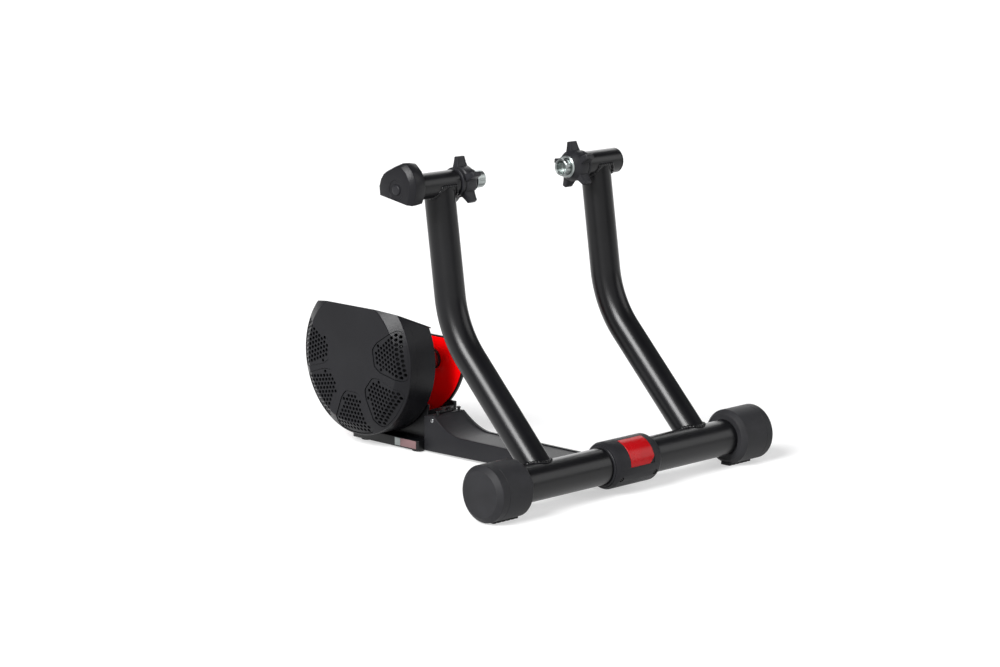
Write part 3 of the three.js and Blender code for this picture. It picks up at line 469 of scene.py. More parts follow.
def centre_line():
    """The uprights' centre line in (y, z): straight from the bar, one round bend, straight to the top."""
    u, start = UPRIGHT, Vector(BAR.axis)
    corner = start + Vector((u["elbow_y"], u["elbow_rise"]))
    end = start + Vector((u["top_y"], u["top_rise"]))
    first, last = (corner - start).normalized(), (end - corner).normalized()
    turn = math.atan2(last.y, last.x) - math.atan2(first.y, first.x)
    back = u["bend"] * math.tan(turn / 2)
    centre = corner - first * back + Vector((-first.y, first.x)) * u["bend"]
    return {"start": start, "first": first, "run": (corner - start).length - back, "centre": centre,
            "turn": turn, "last": last, "rise": (end - corner).length - back}


def upright_tube(name, x):
    line, root = centre_line(), UPRIGHT["root"]
    first, last = line["first"], line["last"]
    clear()
    bpy.ops.mesh.primitive_circle_add(
        vertices=72, radius=UPRIGHT["radius"] * MM, location=place(x, *(line["start"] + first * root)),
        rotation=(math.atan2(first.y, first.x) - math.pi / 2, 0, 0), fill_type="NGON")
    obj = bpy.context.object
    obj.name = obj.data.name = name
    bpy.ops.object.transform_apply(location=True, rotation=True, scale=True)
    edit(obj)
    push(0, *(first * (line["run"] - root)))
    bpy.ops.mesh.spin(steps=28, angle=line["turn"], center=place(x, *line["centre"]), axis=(-1, 0, 0))
    push(0, *(last * line["rise"]))
    return tidy(obj)


def saddle(x, along, base, bar_radius, count=150, widest=0.98):
    """Points where an upright's skin meets a round bar along X, whose axis is at base."""
    across = Vector((-along.y, along.x))
    limit = bar_radius * widest
    points = []
    for i in range(count):
        a = 2 * math.pi * i / count
        front = max(min(UPRIGHT["radius"] * math.sin(a), limit), -limit)
        reach = math.sqrt(bar_radius ** 2 - front ** 2)
        spot = base + along * reach + across * front
        points.append(place(x + UPRIGHT["radius"] * math.cos(a), spot.x, spot.y))
    return points


def uprights():
    line = centre_line()
    for word, side in SIDES.items():
        x = side * UPRIGHT["x"]
        done(upright_tube(f"upright_tube_{word}", x), "arm_frame", [f"upright_{word}"], "black_paint")
        seam = saddle(x, line["first"], line["start"], BAR.r + FIT)
        low = bead(f"weld_low_{word}", seam, WELD["low"], WELD["low_ripples"])
        done(low, "arm_frame", [], "black_paint")
        seam = saddle(x, -line["last"], Vector(AXLE.axis), AXLE.r)
        high = bead(f"weld_high_{word}", seam, WELD["high"], WELD["high_ripples"])
        done(high, "arm_frame", [], "black_paint")


AXLE_TUBE = {"wall": 3.2, "edge": 0.7}
PLUG = {"flange": 2.0, "dish": 9.0}


def axle_tubes():
    for word in SIDES:
        s = Span(f"axle_tube_{word}")
        made = tube(f"axle_tube_skin_{word}", s.r - AXLE_TUBE["wall"], s.r, s.x0, s.x1, AXLE_TUBE["edge"],
                    s.axis, 96)
        done(made, "arm_frame", [f"axle_tube_{word}"], "black_paint")


def tube_plug():
    p, rim, dish = Span("tube_plug"), AXLE.r, PLUG["dish"]
    bore, flange = rim - AXLE_TUBE["wall"] - FIT, p.x1 - PLUG["flange"]
    plug = spun("tube_end_plug", [
        (0, p.x0), (bore, p.x0), (bore, flange), (rim, flange), (rim, p.x1 - 1), (rim - 1.1, p.x1),
        (dish, p.x1), (dish - 0.6, p.x1 - 0.7), (0, p.x1 - 0.8)], AXLE.axis, 72)
    done(plug, "arm_frame", ["tube_plug"], "knob_plastic")


# Axle grip: star nuts, the sleeves that they set and the cam knob.
STAR = {"lobes": 5, "lead": {"left": 95.0, "right": 100.5}, "middle": 16.5, "hub": 20.5, "hub_front": 8.6,
        "hub_back": 6.4, "groove": 18.2, "rim": 19.2, "rim_front": 10.0, "nose": 13.8, "bore": 11.8}
FLANGE = {"radius": 15.2, "stem": 13.0, "thick": 1.9, "stem_length": 4.0}
SLEEVE = {"cup": 8.6, "cup_depth": 12.0, "bore": 7.0, "web": 4.0, "slot_half": 1.2, "slot_depth": 1.6,
          "slot_lead": 6.0, "slot_reach": 20.0}
# A lobe's sections as (radius from the axle, half width, half thickness).
LOBE = ((14, 9.4, 5.8), (20, 8.5, 5.0), (24, 7.7, 4.1), (28.5, 7.0, 3.4), (31.4, 6.7, 3.0),
        (32.5, 6.2, 2.5))


def lobe(centre_x, degrees):
    """One lobe of a star nut, narrow at its tip."""
    y, z = AXLE.axis
    radius, half, thick = LOBE[0]
    corners = ((-half, -thick), (half, -thick), (half, thick), (-half, thick))
    obj = outline("lobe", [place(centre_x + u, y + v, z + radius) for u, v in corners])
    for (r0, h0, t0), (r1, h1, t1) in zip(LOBE, LOBE[1:]):
        push(z=r1 - r0)
        bpy.ops.transform.resize(value=(h1 / h0, t1 / t0, 1), center_override=place(centre_x, y, z + r1))
    tidy(obj)
    return turned(soften(obj, 0.7, 2, 40), "lobe", degrees, AXLE.axis)


def star_nut(word, side):
    s = STAR
    low, high = Span(f"star_nut_{word}").outward(side)
    middle = low + s["middle"]
    front, back, rim_front = middle - s["hub_front"], middle + s["hub_back"], middle + s["rim_front"]
    bore, nose, hub, groove, rim = s["bore"], s["nose"], s["hub"], s["groove"], s["rim"]
    body = spun_outward("hub", side, [
        (bore, low), (nose - 0.4, low), (nose + 0.6, low + 0.9), (hub - 0.6, front), (hub, front + 1),
        (hub, back - 1), (hub - 0.8, back), (groove, back + 0.6), (groove - 0.3, back + 1.6),
        (rim - 0.3, rim_front - 0.8), (rim, rim_front), (rim, high - 0.9), (rim - 0.8, high), (bore, high)],
        AXLE.axis, 80)
    turns = [90 - s["lead"][word] + 360 / s["lobes"] * i for i in range(s["lobes"])]
    lobes = [lobe(side * middle, turn) for turn in turns]
    done(merged(f"star_{word}", body, *lobes), f"star_{word}", [f"star_nut_{word}"], "knob_plastic")
    star_flange(word, side, low)


def star_flange(word, side, face):
    """The metal insert's rim on the nut's inner face."""
    f, bore = FLANGE, STAR["bore"]
    stem_end = face + f["stem_length"]
    flange = spun_outward(f"star_flange_{word}", side, [
        (bore, face - f["thick"]), (bore + 2, face - f["thick"]), (f["radius"], face - 0.7),
        (f["radius"], face - 0.1), (f["stem"], face - 0.1), (f["stem"], stem_end), (bore, stem_end)],
        AXLE.axis, 72)
    done(flange, f"star_{word}", [f"star_insert_{word}"], "zinc")


def sleeve(word, side):
    """The plated sleeve with the cup that takes one end of the bicycle's axle."""
    s = Span(f"axle_sleeve_{word}")
    end, rear = s.outward(side)
    r, cup, bore, floor = s.r, SLEEVE["cup"], SLEEVE["bore"], end + SLEEVE["cup_depth"]
    web = floor + SLEEVE["web"]
    made = spun_outward(f"sleeve_skin_{word}", side, [
        (0, floor), (cup - 0.4, floor), (cup, floor - 0.4), (cup, end + 1.4), (cup + 1.2, end),
        (r - 1.0, end), (r, end + 0.9), (r, rear), (bore, rear), (bore, web), (0, web)], AXLE.axis, 80)
    low, high = sorted((side * (end - SLEEVE["slot_lead"]), side * floor))
    half, front, back = SLEEVE["slot_half"], AXLE.y - SLEEVE["slot_reach"], AXLE.y - r
    slot = box("tool", low, high, front, back + SLEEVE["slot_depth"], AXLE.z - half, AXLE.z + half)
    done(combine(made, slot), f"sleeve_{word}", [f"axle_sleeve_{word}"], "zinc", smooth=30)


# The knob's outline seen from the left, in (forward, up) from the axle, and its sections as (distance from
# the back, scale). The last section, the face, keeps its lower front corner.
KNOB = ((-29.6, -9.3), (-31.0, 3.6), (-27.5, 14.2), (-21.8, 21.7), (-6.9, 28.9), (7.8, 34.7), (12.4, 35.4),
        (16.0, 33.0), (24.2, 26.0), (30.0, 16.0), (31.7, 4.0), (30.0, -8.0), (25.0, -18.6))
KNOB_SECTIONS = ((0.2, 0.87), (1.8, 0.93), (12.4, 0.985), (20.0, 1.0), (25.4, 0.89))
KNOB_HOLE = {"shoulder_gap": 0.6, "running_gap": 0.4, "dimple": 13.0, "mouth": 14.5, "overrun": 10.0}
BUTTON = {"radius": 7.0, "depth": 4.0}


def knob_blank(back):
    """The knob's body, pushed forward section by section."""
    depth, share = KNOB_SECTIONS[0]
    obj = outline("cam_knob_shell", [place(back - depth, AXLE.y - forward * share, AXLE.z + up * share)
                                     for forward, up in KNOB])
    corner = (AXLE.y - KNOB[0][0], AXLE.z + KNOB[0][1])
    for (da, sa), (db, sb) in zip(KNOB_SECTIONS, KNOB_SECTIONS[1:]):
        push(x=da - db)
        pivot = AXLE.axis if sb > sa else corner
        bpy.ops.transform.resize(value=(1, sb / sa, sb / sa), center_override=place(back - db, *pivot))
    tidy(obj)
    return soften(obj, 0.7, 3, 24)


def cam_knob():
    k, hole = Span("cam_knob"), KNOB_HOLE
    face, outside, dimple = k.x0, k.x0 - hole["overrun"], hole["dimple"]
    r, floor = BUTTON["radius"], face + BUTTON["depth"]
    knob = knob_blank(k.x1)
    bore = rod("tool", AXLE.r + hole["running_gap"], AXLE.x0 - hole["shoulder_gap"], k.x1 + hole["overrun"],
               AXLE.axis, 64)
    dish = spun("tool", [(0, outside), (hole["mouth"], outside), (dimple, face), (dimple - 0.8, face + 0.9),
                         (0, face + 1.0)], AXLE.axis, 64)
    seat = rod("tool", r + FIT, outside, floor + FIT, AXLE.axis, 48)
    combine(knob, bore, dish, seat)
    done(knob, "cam", ["cam_knob"], "housing_plastic", smooth=30)
    button = spun("cam_knob_button", [
        (0, face - 1.1), (r - 3.4, face - 1.2), (r - 1.2, face - 0.9), (r - 0.3, face - 0.2),
        (r, face + 0.8), (r, floor), (0, floor)], AXLE.axis, 56)
    done(button, "cam", ["cam_knob_cap"], "knob_plastic")


# Base: the hinge collar, the beam behind it, the plate under the roller unit and their small parts.
COLLAR = {"radius": 31.0, "face": 28.0, "half": 42.0, "chamfer": 5.0, "bore": 24.4, "split": 48.0,
          "split_gap": 0.35, "liner_wall": 2.6}
BADGE = {"x0": -18.0, "x1": 26.0, "low": 101.0, "sweep": 80.0, "spare": 1.0, "recess": 0.9, "root": 0.6,
         "stand": 0.1, "edge": 0.35, "corner": 11.0, "corner_drop": 3.0, "reach": 60.0}
HINGE_SCREW = {"offset": 31.7, "tilt": 119.3, "radius": 2.3, "length": 4.8, "sunk": 0.5, "seat": 3.9,
               "seat_depth": 1.6}


def half_collar(name, start):
    """Half of the hinge collar, from the angle start."""
    c = COLLAR
    r, half, gap = c["radius"], c["half"], c["split_gap"]
    knee = half - c["chamfer"]
    right = [(r, knee - 0.5), (r - 0.4, knee + 0.5), (c["face"] + 0.4, half - 0.4), (c["face"] - 0.5, half),
             (c["bore"], half)]
    left = [(radius, -x) for radius, x in reversed(right)]
    return spun(name, left + right, BAR.axis, 60, start=start + gap, sweep=180 - 2 * gap)


def badge_corner():
    """The wedge that cuts the badge's lower right corner, seen from the front."""
    x0, x1 = BADGE["x1"] - BADGE["corner"], BADGE["x1"] + OVERRUN
    front, low = BAR.y - BADGE["reach"], BAR.z - BADGE["corner_drop"]
    wedge = outline("tool", [place(x0, front, low), place(x1, front, low), place(x1, front, low + x1 - x0)])
    push(y=BADGE["reach"])
    return tidy(wedge)


def badge():
    b = BADGE
    root, top = COLLAR["radius"] - b["root"], COLLAR["radius"] + b["stand"]
    rim, edge = top + b["edge"], b["edge"]
    plate = spun("hinge_plate", [
        (root, b["x0"]), (top, b["x0"]), (rim, b["x0"] + edge), (rim, b["x1"] - edge), (top, b["x1"]),
        (root, b["x1"])], BAR.axis, 40, start=b["low"], sweep=b["sweep"])
    combine(plate, badge_corner())
    done(plate, "base", ["hinge_badge"], "red_gloss", smooth=30, look="badge_red")


def hinge_cap():
    """The front half of the collar, with the badge's recess and the seats of its screws."""
    b, x0, x1 = BADGE, BADGE["x0"] - FIT, BADGE["x1"] + FIT
    floor, outside = COLLAR["radius"] - b["recess"], COLLAR["radius"] + OVERRUN
    cap = half_collar("hinge_clamp", COLLAR["split"])
    recess = spun("tool", [(floor, x0), (outside, x0), (outside, x1), (floor, x1)], BAR.axis, 30,
                  start=b["low"] - b["spare"], sweep=b["sweep"] + 2 * b["spare"])
    combine(cap, recess, *(screw_seat(side) for side in SIDES.values()))
    done(cap, "base", ["hinge_cap"], "beam_plastic", smooth=30)


def hinge_liners():
    for word, side in SIDES.items():
        s = Span(f"hinge_liner_{word}")
        low, high = s.outward(side)
        inner = s.r - COLLAR["liner_wall"]
        bush = spun_outward(f"hinge_bush_{word}", side, [
            (inner, low), (s.r, low), (s.r, high - 0.6), (s.r - 0.6, high), (inner, high)], BAR.axis, 96)
        done(bush, "base", [f"hinge_liner_{word}"], "knob_plastic")


def socket_top(radius, top, run, rise, socket, depth):
    """The end of a screw's profile: its edge, taken off by run and rise, and the socket in its top."""
    floor = top - depth
    return [(radius, top - rise), (radius - run, top), (socket, top), (socket, floor), (0, floor)]


def screw_seat(side):
    """The round recess about one screw of the hinge collar."""
    s, skin = HINGE_SCREW, BAR.z + COLLAR["radius"]
    floor, top, radius = skin - s["seat_depth"], skin + OVERRUN, s["seat"]
    profile = [(0, floor), (radius, floor), (radius, top), (0, top)]
    return turned(spun_up("seat", side * s["offset"], BAR.y, profile, 30), "tool", s["tilt"], BAR.axis)


def hinge_screws():
    s, skin = HINGE_SCREW, BAR.z + COLLAR["radius"]
    bottom, top, radius = skin - s["length"], skin - s["sunk"], s["radius"]
    profile = [(0, bottom), (radius, bottom)] + socket_top(radius, top, 0.4, 0.5, 1.4, 1.9)
    for word, side in SIDES.items():
        screw = spun_up("screw", side * s["offset"], BAR.y, profile, 30)
        screw = turned(screw, f"hinge_screw_head_{word}", s["tilt"], BAR.axis)
        done(screw, "base", [f"hinge_screw_{word}"], "black_paint")


BEAM = {"half": 30.0, "deck": 30.0, "crest": 53.0, "rear": 51.0, "ramp": 71.7, "knee": 47.7, "level": 17.7,
        "under_rear": 2.5, "under_front": 7.8, "front": 14.0, "rim": 5.0, "sunk": 1.3, "bar_gap": 5.0,
        "field_front": 6.0, "field_top": 80.0}


def ramp_line(drop=0.0, steps=14):
    """The beam's top from its rear end forward, in (y, z): crest, round ramp, deck."""
    b, rear = BEAM, BEAM_END
    line = [(rear, b["rear"] - drop), (rear - b["level"], b["crest"] - drop)]
    y0, y1, y2 = rear - b["level"], rear - b["knee"], rear - b["ramp"]
    for i in range(1, steps + 1):
        t = i / steps
        y = (1 - t) ** 2 * y0 + 2 * t * (1 - t) * y1 + t * t * y2
        z = (1 - t) ** 2 * b["crest"] + 2 * t * (1 - t) * b["deck"] + t * t * b["deck"]
        line.append((y, z - drop))
    return line


def beam():
    b = BEAM
    front, half = BAR.y + b["front"], b["half"]
    under = [(front, b["under_front"]), (BEAM_END, b["under_rear"])]
    body = pushed("beam_body", under + ramp_line() + [(front, b["deck"])], -half, half)
    soften(body, 1.3, 3, 40)
    field_front = BAR.y + COLLAR["radius"] + b["field_front"]
    path = ramp_line(b["sunk"])[1:] + [(field_front, b["deck"] - b["sunk"])]
    above, inner = b["field_top"], half - b["rim"]
    field = pushed("tool", [(path[0][0], above)] + path + [(path[-1][0], above)], -inner, inner)
    bore = rod("tool", COLLAR["bore"] + b["bar_gap"], -2 * half, 2 * half, BAR.axis, 96)
    combine(body, field, bore)
    back = half_collar("collar_back", 180 + COLLAR["split"])
    done(merged("beam_body", body, back), "base", ["base_beam"], "beam_plastic", smooth=30)


LABEL = {"stand": 0.35, "print": 31.0, "gap": 0.2}
CLIP = {"half": 3.4, "floor": 2.4}
REAR_PAD = {"ring": 5.0, "dish": 0.7}


def rear_plate():
    b, overhang = Span("base_plate"), 4
    plate = box("rear_foot_plate", b.x0, b.x1, BEAM_END + FIT, b.y1 + overhang, b.z0, b.z1)
    done(soften(plate, 1.2, 3, 40), "base", ["base_plate"], "black_paint", smooth=30)


def label():
    """The plate's label, bare, with a strip of foil beside it."""
    s, x0 = Span("blank_label"), Span("base_plate").x0 - LABEL["stand"]
    split = s.y0 + LABEL["print"]
    paper = box("label_blank", x0, s.x1, s.y0, split, s.z0, s.z1)
    done(soften(paper, 0.12, 2), "base", ["blank_label"], "label_paper")
    foil = box("label_foil", x0, s.x1, split + LABEL["gap"], s.y1, s.z0, s.z1)
    done(soften(foil, 0.12, 2), "base", [], "zinc")


def rear_pads():
    ring, dish = REAR_PAD["ring"], REAR_PAD["dish"]
    for i in range(1, 5):
        p = Span(f"base_pad_{i}")
        pad = spun_up(f"rear_pad_{i}", (p.x0 + p.x1) / 2, p.y, [
            (0, p.z1), (p.r, p.z1), (p.r, 0.8), (p.r - 0.8, 0), (ring, 0), (ring - 0.6, dish), (0, dish)])
        done(pad, "base", [f"base_pad_{i}"], "rubber")


def ramp_bolt(word):
    s, shank = Span(f"ramp_bolt_{word}"), 2.1
    profile = [(0, s.z0), (shank, s.z0), (shank, s.z1 - 2.2), (s.r, s.z1 - 2.1)]
    bolt = spun_up(f"ramp_bolt_{word}_screw", (s.x0 + s.x1) / 2, s.y,
                   profile + socket_top(s.r, s.z1, 0.5, 0.5, 1.3, 1.2), 30)
    done(bolt, "base", [f"ramp_bolt_{word}"], "black_paint")


def ramp_screw(word, side):
    s, radius = Span(f"ramp_screw_{word}"), 2.6
    low, high = s.outward(side)
    profile = [(0, low), (radius, low)] + socket_top(radius, high, 0.4, 0.3, 1.2, 1.3)
    screw = spun_outward(f"ramp_side_screw_{word}", side, profile, s.axis, 30)
    done(screw, "base", [f"ramp_screw_{word}"], "steel")


def ramp_clip():
    c, half = Span("ramp_clip"), CLIP["half"]
    clip = box("ramp_catch", c.x0, c.x1, c.y0, c.y1, c.z0, c.z1)
    notch = box("tool", -half, half, c.y0 - OVERRUN, c.y1 + OVERRUN, c.z0 + CLIP["floor"], c.z1 + OVERRUN)
    done(soften(combine(clip, notch), 0.7, 2), "base", ["ramp_clip"], "black_paint")


# Resistance unit.
HOUSING = {"radius": 106.5, "face_radius": 89.0, "face": -82.0, "rim": -70.0, "split": -58.0,
           "inner": -24.0, "wall": 3.0, "rise": 75.2, "slope": 0.43, "lid": 1.6, "lip": 2.6, "lid_gap": 0.5,
           "seam": 0.15, "core": 20.0}
VENT = {"angles": (170.0, 220.0, 270.0, 320.0, 367.0), "pitch": 6.5, "hole": 2.35, "depth": 0.9,
        "groove": 2.1, "groove_width": 0.8, "field_gap": 0.1, "margin": 4.2, "before": 8.0, "behind": 10.0,
        "punch_behind": 12.0, "first_row": 40.0, "rows": 20, "columns": 8, "arc_steps": 5, "draw_in": 0.95}
# Half of one vent's outline as (sideways, outwards) from the drum's axis, before the round outer edge. The
# third number is the share of an inset that moves the point outwards.
VENT_HALF = ((9.0, 44.5, 1.0), (12.5, 45.6, 1.0), (16.5, 49.6, 1.0), (21.0, 55.5, 0.35), (32.3, 84.5, 0.35),
             (34.6, 91.0, -0.7), (34.0, 96.0, -0.7), (31.2, 99.2, -0.7))


def above_top(drop):
    """Everything over the drum's sloping top, lowered by drop."""
    h, y, spare = HOUSING, DRUM[0], 20
    reach = h["radius"] + spare
    x0, x1 = h["face"] - spare, h["inner"] + spare
    top = DRUM[1] + h["rise"]
    slope = [(x, top - h["slope"] * (x - h["face"]) - drop) for x in (x0, x1)]
    roof = [(x, top + 3 * spare) for x in (x1, x0)]
    obj = outline("tool", [place(x, y - reach, z) for x, z in slope + roof])
    push(y=2 * reach)
    return tidy(obj)


def housing_profile(inset, end):
    """The drum's outside, drawn in by inset, from its face to end."""
    h, soft, bevel_share = HOUSING, 0.8, 0.4
    r, face, rim = h["radius"] - inset, h["face"] + inset, h["rim"] + inset * bevel_share
    knee = h["face_radius"] - inset * bevel_share
    return [(0, face), (knee - soft, face), (knee + soft * 0.8, face + soft * 0.55),
            (r - soft * 0.6, rim - soft * 0.45), (r, rim + soft), (r, end), (0, end)]


def vent_outline(inset):
    """One vent's outline pointing up from the drum's axis, drawn in by inset."""
    half = [(u - inset * VENT["draw_in"], v + inset * share) for u, v, share in VENT_HALF]
    outer = math.hypot(*half[-1])
    edge = math.atan2(*half[-1])
    turns = [edge * (1 - k / VENT["arc_steps"]) for k in range(1, 2 * VENT["arc_steps"])]
    arc = [(outer * math.sin(turn), outer * math.cos(turn)) for turn in turns]
    return half + arc + [(-u, v) for u, v in reversed(half)]


def vent_fields(inset, overlap=0.0):
    """The stock over the five vents, with their outlines drawn in by inset."""
    y, z = DRUM
    x0, x1 = HOUSING["face"] - VENT["before"] - overlap, HOUSING["rim"] + VENT["behind"] + overlap
    prism = pushed("prism", [(y - u, z + v) for u, v in vent_outline(inset)], x0, x1)
    made = [copied(prism, "field", angle - 90, DRUM) for angle in VENT["angles"]]
    bpy.data.objects.remove(prism)
    return merged("fields", *made)


def drum_core(depth):
    """The stock under the drum's outside, down from the given depth."""
    return spun("tool", housing_profile(depth, HOUSING["split"] + HOUSING["core"]), DRUM, 160)


def in_vent(u, v):
    """Whether a hole's middle lies in the vent, well clear of its edge."""
    points = vent_outline(VENT["margin"])
    hits = False
    for (ua, va), (ub, vb) in zip(points, points[1:] + points[:1]):
        if (va > v) != (vb > v) and u < (ub - ua) * (v - va) / (vb - va) + ua:
            hits = not hits
    return hits


def hole_punches():
    """One round punch for every hole of the five vents, in staggered rows, joined."""
    pitch, columns = VENT["pitch"], VENT["columns"]
    x0, x1 = HOUSING["face"] - VENT["before"], HOUSING["rim"] + VENT["punch_behind"]
    punch = rod("punch", VENT["hole"], x0, x1, DRUM, 14)
    field = []
    for row in range(VENT["rows"]):
        v = VENT["first_row"] + row * pitch * math.sqrt(3) / 2
        for column in range(-columns, columns + 1):
            u = (column + (row % 2) / 2) * pitch
            if in_vent(u, v):
                field.append(copied(punch, "hole", shift=(0, -u, v)))
    bpy.data.objects.remove(punch)
    first = merged("holes", *field)
    rings = [copied(first, "holes", angle - 90, DRUM) for angle in VENT["angles"]]
    bpy.data.objects.remove(first)
    return merged("holes", *rings)


def vent_cover():
    """The drum's outer shell: each vent is a sunk field in a narrow groove, punched with holes."""
    h, v = HOUSING, VENT
    cover = combine(spun("vent_cover_shell", housing_profile(0, h["split"]), DRUM, 160), above_top(0))
    hollow = spun("tool", housing_profile(h["wall"], h["split"] + 2 * OVERRUN), DRUM, 120)
    combine(hollow, above_top(h["wall"] + h["lid"]))
    combine(cover, hollow)
    fields = combine(vent_fields(v["field_gap"]), drum_core(v["depth"]))
    groove = combine(vent_fields(0), vent_fields(v["groove_width"], overlap=2), drum_core(v["groove"]))
    combine(cover, fields, groove, hole_punches())
    done(mend(cover), "base", ["vent_cover"], "housing_plastic", smooth=12)


def drum_body():
    h = HOUSING
    start, end, r = h["split"] + h["seam"], h["inner"], h["radius"]
    shell = disc("drum_shell_skin", r, start, end, 0.8, DRUM, 160)
    combine(shell, above_top(h["lid"] + h["lid_gap"]))
    hollow = rod("tool", r - h["wall"], start - OVERRUN, end + OVERRUN, DRUM, 120)
    combine(hollow, above_top(h["wall"] + h["lid"]))
    combine(shell, hollow)
    done(shell, "base", ["drum_shell"], "housing_plastic", smooth=28)
    lid = rod("drum_lid_skin", r, start, end + h["lip"], DRUM, 160)
    combine(lid, above_top(0))
    combine(lid, above_top(h["lid"]), how="INTERSECT")
    done(soften(lid, 0.3, 2, 40), "base", ["drum_lid"], "housing_plastic", smooth=28)


BEARING_HOLE = {"plate": 13.3, "panel": 14.2}
SIDE_PLATE = {"thick": 4.0, "top_gap": 3.0, "post": 3.2, "post_rise": 15.0}
LEG = {"length": 98.0, "rise": 45.3}


def bearing_hole(x0, x1, radius):
    return rod("tool", radius, x0 - OVERRUN, x1 + OVERRUN, ROLLER.axis, 64)


def side_plate():
    """The plate that closes the drum, with the two posts that hold the control board."""
    h, p, board = HOUSING, SIDE_PLATE, Span("control_board")
    r, x0, x1 = h["radius"] - h["wall"] - FIT, h["inner"] - p["thick"], h["inner"]
    plate = disc("side_plate_skin", r, x0, x1, 0.6, DRUM, 128)
    hole = bearing_hole(x0, x1, BEARING_HOLE["plate"])
    combine(plate, above_top(h["wall"] + h["lid"] + p["top_gap"]), hole)
    tip = Span("drum_side_plate").x0
    rises = (-p["post_rise"], p["post_rise"])
    posts = [rod("post", p["post"], tip, x0 + 1, (board.y, board.z + rise), 24) for rise in rises]
    done(merged("side_plate_skin", plate, *posts), "base", ["drum_side_plate"], "black_paint", smooth=30)


def disc_outline(axis, radius, top, steps=72):
    """A disc with a flat top at height top, in (y, z)."""
    y, z = axis
    half = math.asin(min((top - z) / radius, 1.0))
    turns = [half - (math.pi + 2 * half) * k / steps for k in range(steps + 1)]
    return [(y + radius * math.cos(turn), z + radius * math.sin(turn)) for turn in turns]


def roller_plate():
    """The plate that carries the roller's right end, with its leg down to the base."""
    p, foot = Span("roller_plate"), BEAM_END + FIT
    plate = pushed("roller_plate_skin", disc_outline(TYRE_PLATE, p.r, p.z1), p.x0, p.x1)
    leg = box("tool", p.x0, p.x1, foot, foot + LEG["length"], p.z0, Span("base_plate").z1 + LEG["rise"])
    combine(plate, leg, how="UNION")
    combine(plate, bearing_hole(p.x0, p.x1, BEARING_HOLE["plate"]))
    done(soften(plate, 1.1, 3, 40), "base", ["roller_plate"], "black_paint", smooth=30)


def red_panels():
    inner_radius = HOUSING["radius"] - 2 * HOUSING["wall"]
    for word, axis, radius in (("left", DRUM, inner_radius), ("right", TYRE_PLATE, RED.r)):
        s = Span(f"red_panel_{word}")
        panel = pushed(f"tyre_face_{word}", disc_outline(axis, radius, s.z1), s.x0, s.x1)
        combine(panel, bearing_hole(s.x0, s.x1, BEARING_HOLE["panel"]))
        # Their red_gloss look is lifted above the plastic's own red, as painted light for the shade the
        # drum casts on them.
        done(soften(panel, 0.3, 2, 40), "base", [f"red_panel_{word}"], "red_gloss", smooth=30)


def bearing_cap():
    c, wall, dish = Span("bearing_cap"), 2.5, 8
    r, end, inner = c.r, c.x1, c.r - wall
    cap = spun("bearing_cap_skin", [
        (inner, c.x0), (r, c.x0), (r, end - 3.4), (r - 0.8, end - 1.6), (r - 2.6, end - 0.5), (r - 5, end),
        (dish, end), (dish - 0.8, end - 0.8), (0, end - 0.9), (0, end - wall), (inner, end - wall)],
        ROLLER.axis, 88)
    done(cap, "base", ["bearing_cap"], "knob_plastic")


# The wall beside the drum is made tall and black to stand in for the shade at the foot of the red panel:
# painted shade.
YOKE = {"thick": 3.2, "raised": 3.0, "side_wall": 48.0}


def yoke():
    """A bent plate under the tyre: a floor, a front wall and a wall beside the drum, built tall as painted
    shade over the foot of the red panel.
    """
    y, thick, top = Span("yoke"), YOKE["thick"], Span("yoke").z1 + YOKE["raised"]
    back, floor = y.y0 + thick, y.z0 + thick
    bend = [(y.y0, y.z0), (y.y1, y.z0), (y.y1, floor), (back, floor), (back, top), (y.y0, top)]
    body = pushed("yoke_bracket", bend, y.x0, y.x1)
    wall = box("tool", y.x0, y.x0 + thick, y.y0, y.y1, y.z0, y.z0 + YOKE["side_wall"])
    combine(body, wall, how="UNION")
    done(soften(body, 0.8, 2, 40), "base", ["yoke"], "black_paint", smooth=30)


# Turning group.
SHAFT = {"radius": 6.0, "bore": 6.3, "ring_bore": 6.4}
FLYWHEEL = {"hub": 15.0, "web": 5.0, "rim": 8.0, "width": 14.0}


def roller():
    r, ring, shaft = ROLLER, Span("roller_ring"), Span("roller_shaft")
    barrel = tube("roller_barrel", SHAFT["bore"], r.r, r.x0, r.x1, 1.1, r.axis, 96)
    done(barrel, "roller_group", ["roller"], "zinc")
    end_ring = tube("roller_end_ring", SHAFT["ring_bore"], ring.r, ring.x0, ring.x1, 0.5, r.axis, 88)
    done(end_ring, "roller_group", ["roller_ring"], "knob_plastic")
    axle = tube("roller_axle", 0, SHAFT["radius"], shaft.x0, shaft.x1, 0.6, r.axis, 64)
    done(axle, "roller_group", ["roller_shaft"], "steel")


def flywheel():
    f, bore, hub = Span("flywheel"), SHAFT["bore"], FLYWHEEL["hub"]
    web, rim, back = f.x0 + FLYWHEEL["web"], f.r - FLYWHEEL["rim"], f.x0 + FLYWHEEL["width"]
    wheel = spun("flywheel_rim", [
        (bore, f.x0), (hub, f.x0), (hub + 0.6, web), (rim - 1, web), (rim, f.x0), (f.r - 1, f.x0),
        (f.r, f.x0 + 1), (f.r, back - 1), (f.r - 1, back), (hub, back), (hub, f.x1), (bore, f.x1)],
        ROLLER.axis, 96)
    # Its black paint also stands in for the shade inside the drum, where the vent holes show it: painted
    # shade.
    done(wheel, "roller_group", ["flywheel"], "black_paint")


def swinging_frame():
    crossbar()
    feet()
    uprights()
    axle_tubes()
    tube_plug()
    for word, side in SIDES.items():
        star_nut(word, side)
        sleeve(word, side)
    cam_knob()


def base():
    hinge_cap()
    badge()
    hinge_liners()
    hinge_screws()
    beam()
    rear_plate()
    label()
    rear_pads()
    for word, side in SIDES.items():
        ramp_bolt(word)
        ramp_screw(word, side)
    ramp_clip()


def resistance_unit():
    vent_cover()
    drum_body()
    side_plate()
    roller_plate()
    red_panels()
    bearing_cap()
    yoke()
    roller()
    flywheel()


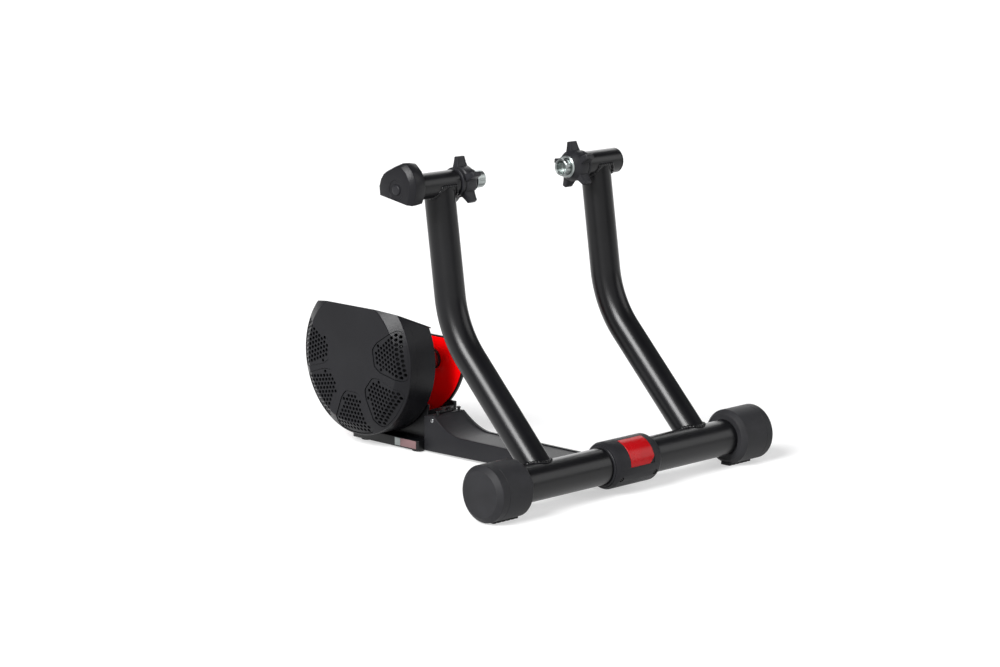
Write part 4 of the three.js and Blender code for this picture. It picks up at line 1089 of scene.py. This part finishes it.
# Studio: a pale floor without edges, four wide soft suns and a room that is white at the horizon and dim
# overhead. Each lamp has its direction from the object, its width in degrees and its strength.
LAMPS = (("key", (-0.81, -0.15, 0.57), 27, 4.8), ("fill", (0.66, -0.63, 0.42), 36, 0.6),
         ("back", (0.7, 0.6, 0.38), 40, 0.8), ("front", (-0.62, -0.75, 0.2), 80, 0.8))
LAMP_DISTANCE = 3
FLOOR = {"size": 160, "grey": 0.52, "roughness": 0.95, "lift": 0.54}
ROOM = {"places": (0.02, 0.06), "colours": ((1, 1, 1), (0.12, 0.12, 0.125))}


def floor_lift(tree):
    """The floor's own light, for camera, glossy and transmission rays only."""
    paths = node(tree, "ShaderNodeLightPath")
    seen = node(tree, "ShaderNodeMath", operation="MAXIMUM")
    either = node(tree, "ShaderNodeMath", operation="MAXIMUM")
    lift = node(tree, "ShaderNodeMath", operation="MULTIPLY")
    lift.inputs[1].default_value = FLOOR["lift"]
    tree.links.new(paths.outputs["Is Camera Ray"], seen.inputs[0])
    tree.links.new(paths.outputs["Is Glossy Ray"], seen.inputs[1])
    tree.links.new(seen.outputs["Value"], either.inputs[0])
    tree.links.new(paths.outputs["Is Transmission Ray"], either.inputs[1])
    tree.links.new(either.outputs["Value"], lift.inputs[0])
    return lift


def floor():
    clear()
    bpy.ops.mesh.primitive_plane_add(size=FLOOR["size"], location=(0, 0, 0))
    plane = bpy.context.object
    plane.name = "floor"
    material = bpy.data.materials.new("floor_paper")
    material.use_nodes = True
    tree = material.node_tree
    shader = tree.nodes["Principled BSDF"]
    shader.inputs["Base Color"].default_value = (FLOOR["grey"], FLOOR["grey"], FLOOR["grey"], 1)
    shader.inputs["Roughness"].default_value = FLOOR["roughness"]
    shader.inputs["Specular IOR Level"].default_value = 0.0
    shader.inputs["Emission Color"].default_value = (1, 1, 1, 1)
    tree.links.new(floor_lift(tree).outputs["Value"], shader.inputs["Emission Strength"])
    plane.data.materials.append(material)


def room():
    """White at the horizon and dim overhead."""
    world = bpy.data.worlds.new("studio")
    bpy.context.scene.world = world
    world.use_nodes = True
    tree = world.node_tree
    tree.nodes.clear()
    out = node(tree, "ShaderNodeOutputWorld")
    background = node(tree, "ShaderNodeBackground")
    coords = node(tree, "ShaderNodeTexCoord")
    split = node(tree, "ShaderNodeSeparateXYZ")
    ramp = two_colours(tree, ROOM["places"], ROOM["colours"])
    tree.links.new(coords.outputs["Generated"], split.inputs["Vector"])
    tree.links.new(split.outputs["Z"], ramp.inputs["Fac"])
    tree.links.new(ramp.outputs["Color"], background.inputs["Color"])
    tree.links.new(background.outputs["Background"], out.inputs["Surface"])


def lamps():
    for name, direction, width, strength in LAMPS:
        bpy.ops.object.light_add(type="SUN", location=Vector(direction) * LAMP_DISTANCE)
        light = bpy.context.object
        light.name = name
        light.data.angle = math.radians(width)
        light.data.energy = strength
        light.rotation_euler = (-Vector(direction)).to_track_quat("-Z", "Y").to_euler()


add_camera()
LOOKS.update(make_looks())
finish_frame_nodes()
swinging_frame()
base()
resistance_unit()
floor()
room()
lamps()
bpy.context.scene.view_settings.view_transform = "Standard"
